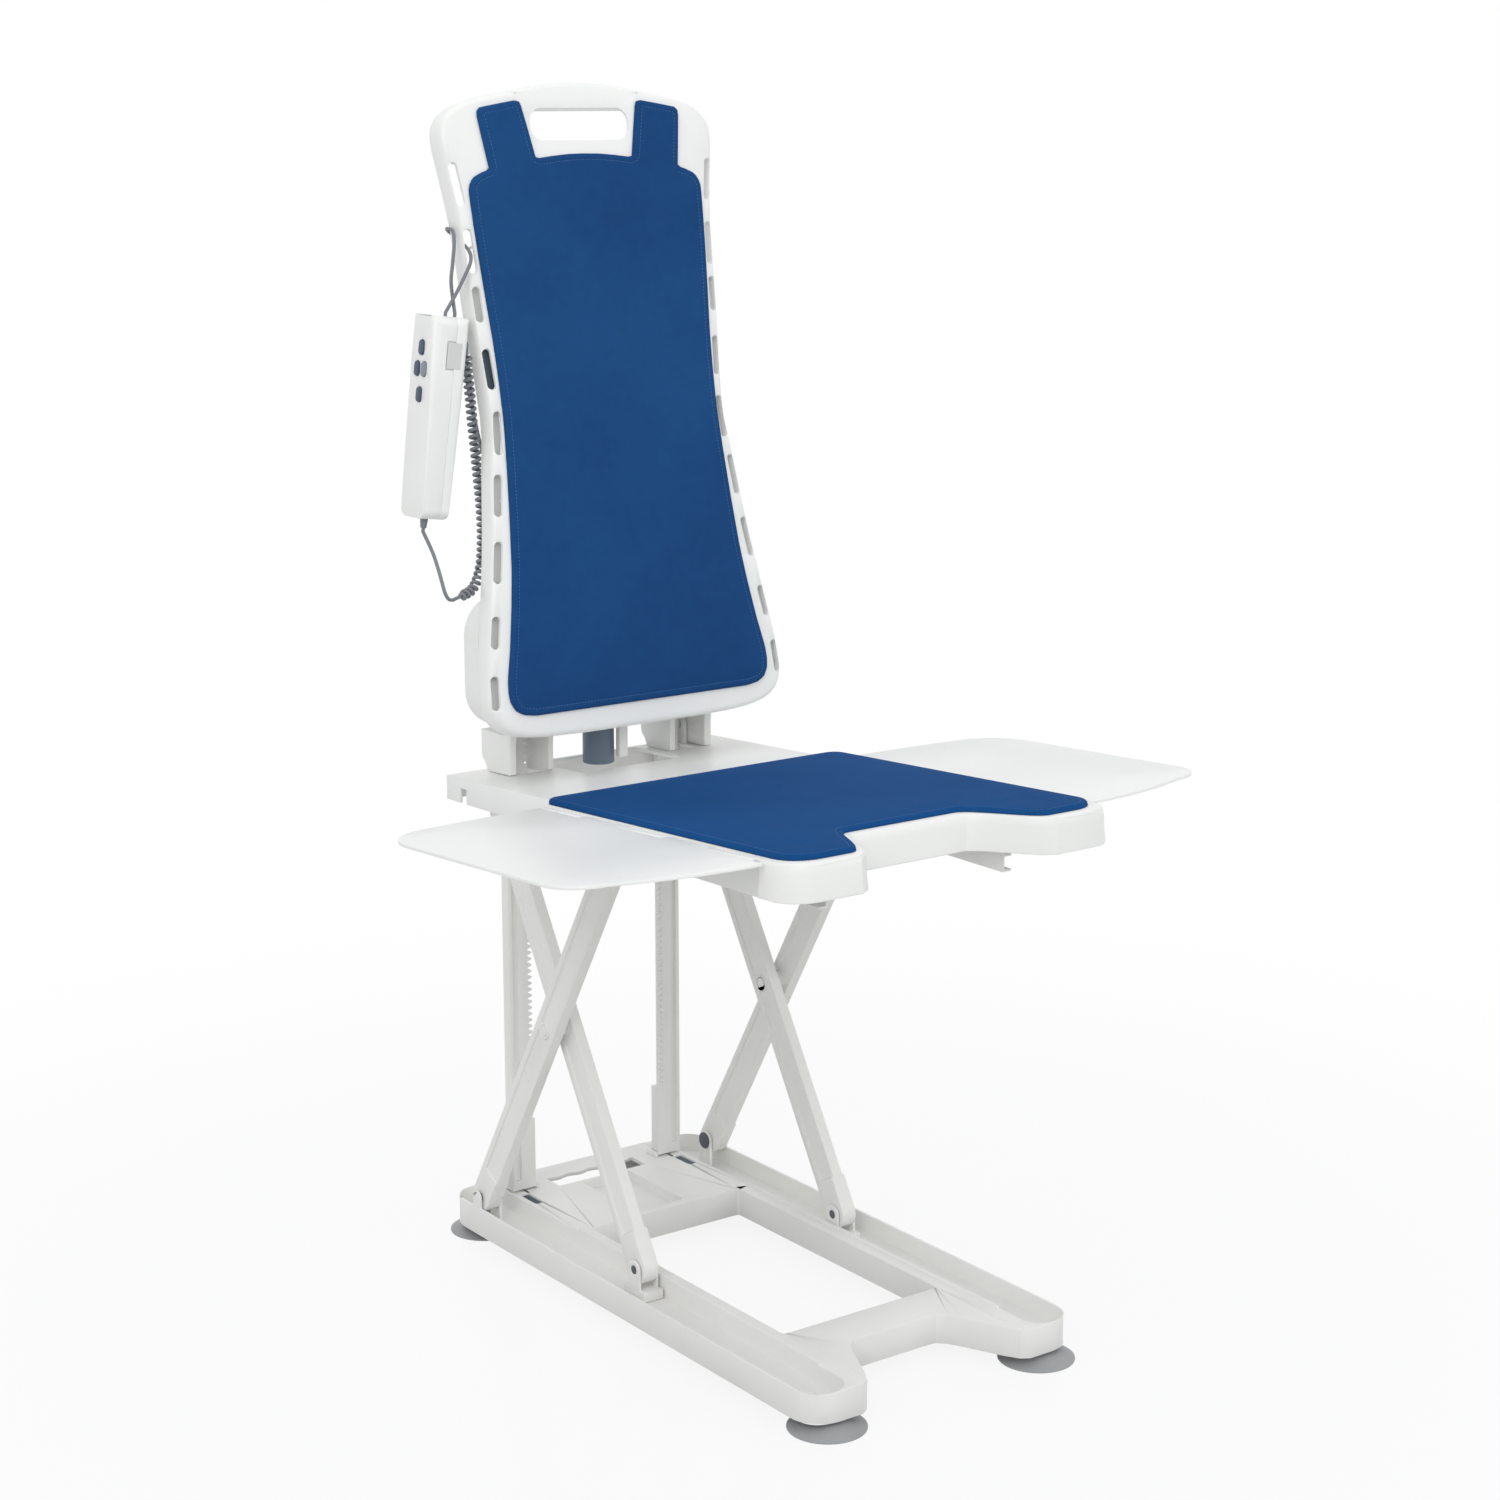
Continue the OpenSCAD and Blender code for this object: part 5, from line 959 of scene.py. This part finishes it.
def make_stage():
    r = FLOOR_REACH
    floor = add_mesh("floor", [(-r, -r, 0), (r, -r, 0), (r, r, 0), (-r, r, 0)], [(0, 1, 2, 3)], False)
    surface = bpy.data.materials.new("pale_floor")
    surface.use_nodes = True
    tree = surface.node_tree
    shader, out = tree.nodes["Principled BSDF"], tree.nodes["Material Output"]
    shader.inputs["Base Color"].default_value = FLOOR_GREY
    shader.inputs["Roughness"].default_value = FLOOR_ROUGHNESS
    glow = tree.nodes.new("ShaderNodeEmission")
    mix = tree.nodes.new("ShaderNodeMixShader")
    away = tree.nodes.new("ShaderNodeVectorMath")
    away.operation = "LENGTH"
    join(tree, tree.nodes.new("ShaderNodeTexCoord").outputs["Object"], away.inputs[0])
    far = tree.nodes.new("ShaderNodeMapRange")
    far.interpolation_type = "SMOOTHSTEP"
    join(tree, away.outputs["Value"], far.inputs["Value"])
    for label, value in FLOOR_GLOW.items():
        far.inputs[label].default_value = value
    share = math_node(tree, "MULTIPLY", seen_share(tree), far.outputs["Result"])
    join(tree, share, mix.inputs["Fac"])
    join(tree, shader.outputs[0], mix.inputs[1])
    join(tree, glow.outputs[0], mix.inputs[2])
    join(tree, mix.outputs[0], out.inputs["Surface"])
    floor.data.materials.append(surface)

    world = bpy.data.worlds.new("studio")
    scene.world = world
    world.use_nodes = True
    tree = world.node_tree
    ground = tree.nodes["Background"]
    ground.inputs["Color"].default_value = SKY_COLOUR
    ground.inputs["Strength"].default_value = SKY_STRENGTH
    white = tree.nodes.new("ShaderNodeBackground")
    white.inputs["Color"].default_value = (1, 1, 1, 1)
    mix = tree.nodes.new("ShaderNodeMixShader")
    join(tree, seen_share(tree), mix.inputs["Fac"])
    join(tree, ground.outputs[0], mix.inputs[1])
    join(tree, white.outputs[0], mix.inputs[2])
    join(tree, mix.outputs[0], tree.nodes["World Output"].inputs["Surface"])

    for name, place, size, power in LAMPS:
        lamp = bpy.data.lights.new(name, "AREA")
        lamp.size = size
        lamp.energy = power
        holder = bpy.data.objects.new(name, lamp)
        holder.location = place
        holder.rotation_euler = (Vector(LAMP_AIM) - Vector(place)).to_track_quat("-Z", "Y").to_euler()
        scene.collection.objects.link(holder)
    scene.view_settings.view_transform = "Standard"


make_camera()
cord, hanger = make_cords()
finishes = make_finishes()
for piece in (cord, hanger):
    piece.data.materials.append(finishes["cord_grey"])

# Each CAD node's finish, and the width its edges are rounded to in millimetres; 0 leaves the node as it is
NODE_FINISHES = {
    "shell_white": {
        "seat_shell": 0.8, "flap_left": 1.0, "flap_right": 1.0, "backrest_shell": 0.6,
        "hinge_bracket_left": 1.0, "hinge_bracket_right": 1.0, "drive_front_cover": 1.0, "drive_rear_cover": 1.0,
        "handset_button_shell": 0.7, "handset_back_shell": 0.7, "crossing_spacers": 0,
    },
    "frame_grey": {
        "base_frame": 0.8, "outer_leg_left": 1.2, "outer_leg_right": 1.2, "inner_leg_left": 1.2,
        "inner_leg_right": 1.2, "rack_left": 0.3, "rack_right": 0.3, "rack_socket_left": 0.8,
        "rack_socket_right": 0.8, "lower_shoe_left": 0.8, "lower_shoe_right": 0.8, "seat_rail_left": 0.5,
        "seat_rail_right": 0.5, "cup_studs": 0.8, "crossing_pins": 0.4,
    },
    "cup_rubber": {"cup_front_left": 0.5, "cup_front_right": 0.5, "cup_rear_left": 0.5, "cup_rear_right": 0.5},
    "pin_steel": {
        "upper_shoe_pins": 0, "seat_pins": 0, "flap_pins": 0, "recline_pins": 0, "cover_screws": 0, "worm": 0,
        "pinion_left": 0, "pinion_right": 0,
    },
    "wheel_brass": {"worm_wheel_left": 0, "worm_wheel_right": 0, "shaft_bushes": 0},
    "dark_plastic": {
        "base_pins": 0.3, "lower_shoe_pins": 0, "upper_shoe_left": 0.5, "upper_shoe_right": 0.5, "battery_pack": 0,
        "drive_gland": 0.4,
    },
    "motor_blue": {"motor": 0.8},
    "button_blue": {"button_top": 0.8, "button_left": 0.8, "button_bottom": 0.8},
    "button_grey": {"button_right": 0.8},
    "cord_grey": {"handset_gland": 0.4},
    "board_green": {"circuit_board": 0},
}
# Each node takes its finish: a copy with rounded edges where a width is given, else the finish on the node itself
for finish, members in NODE_FINISHES.items():
    for node, width in members.items():
        if width:
            rounded(node, width * MM, finish)
        else:
            nodes[node].data.materials.clear()
            nodes[node].data.materials.append(finishes[finish])

make_pads()
make_back_ribs()
make_shade_sheets()
make_stage()

bpy.context.view_layer.update()
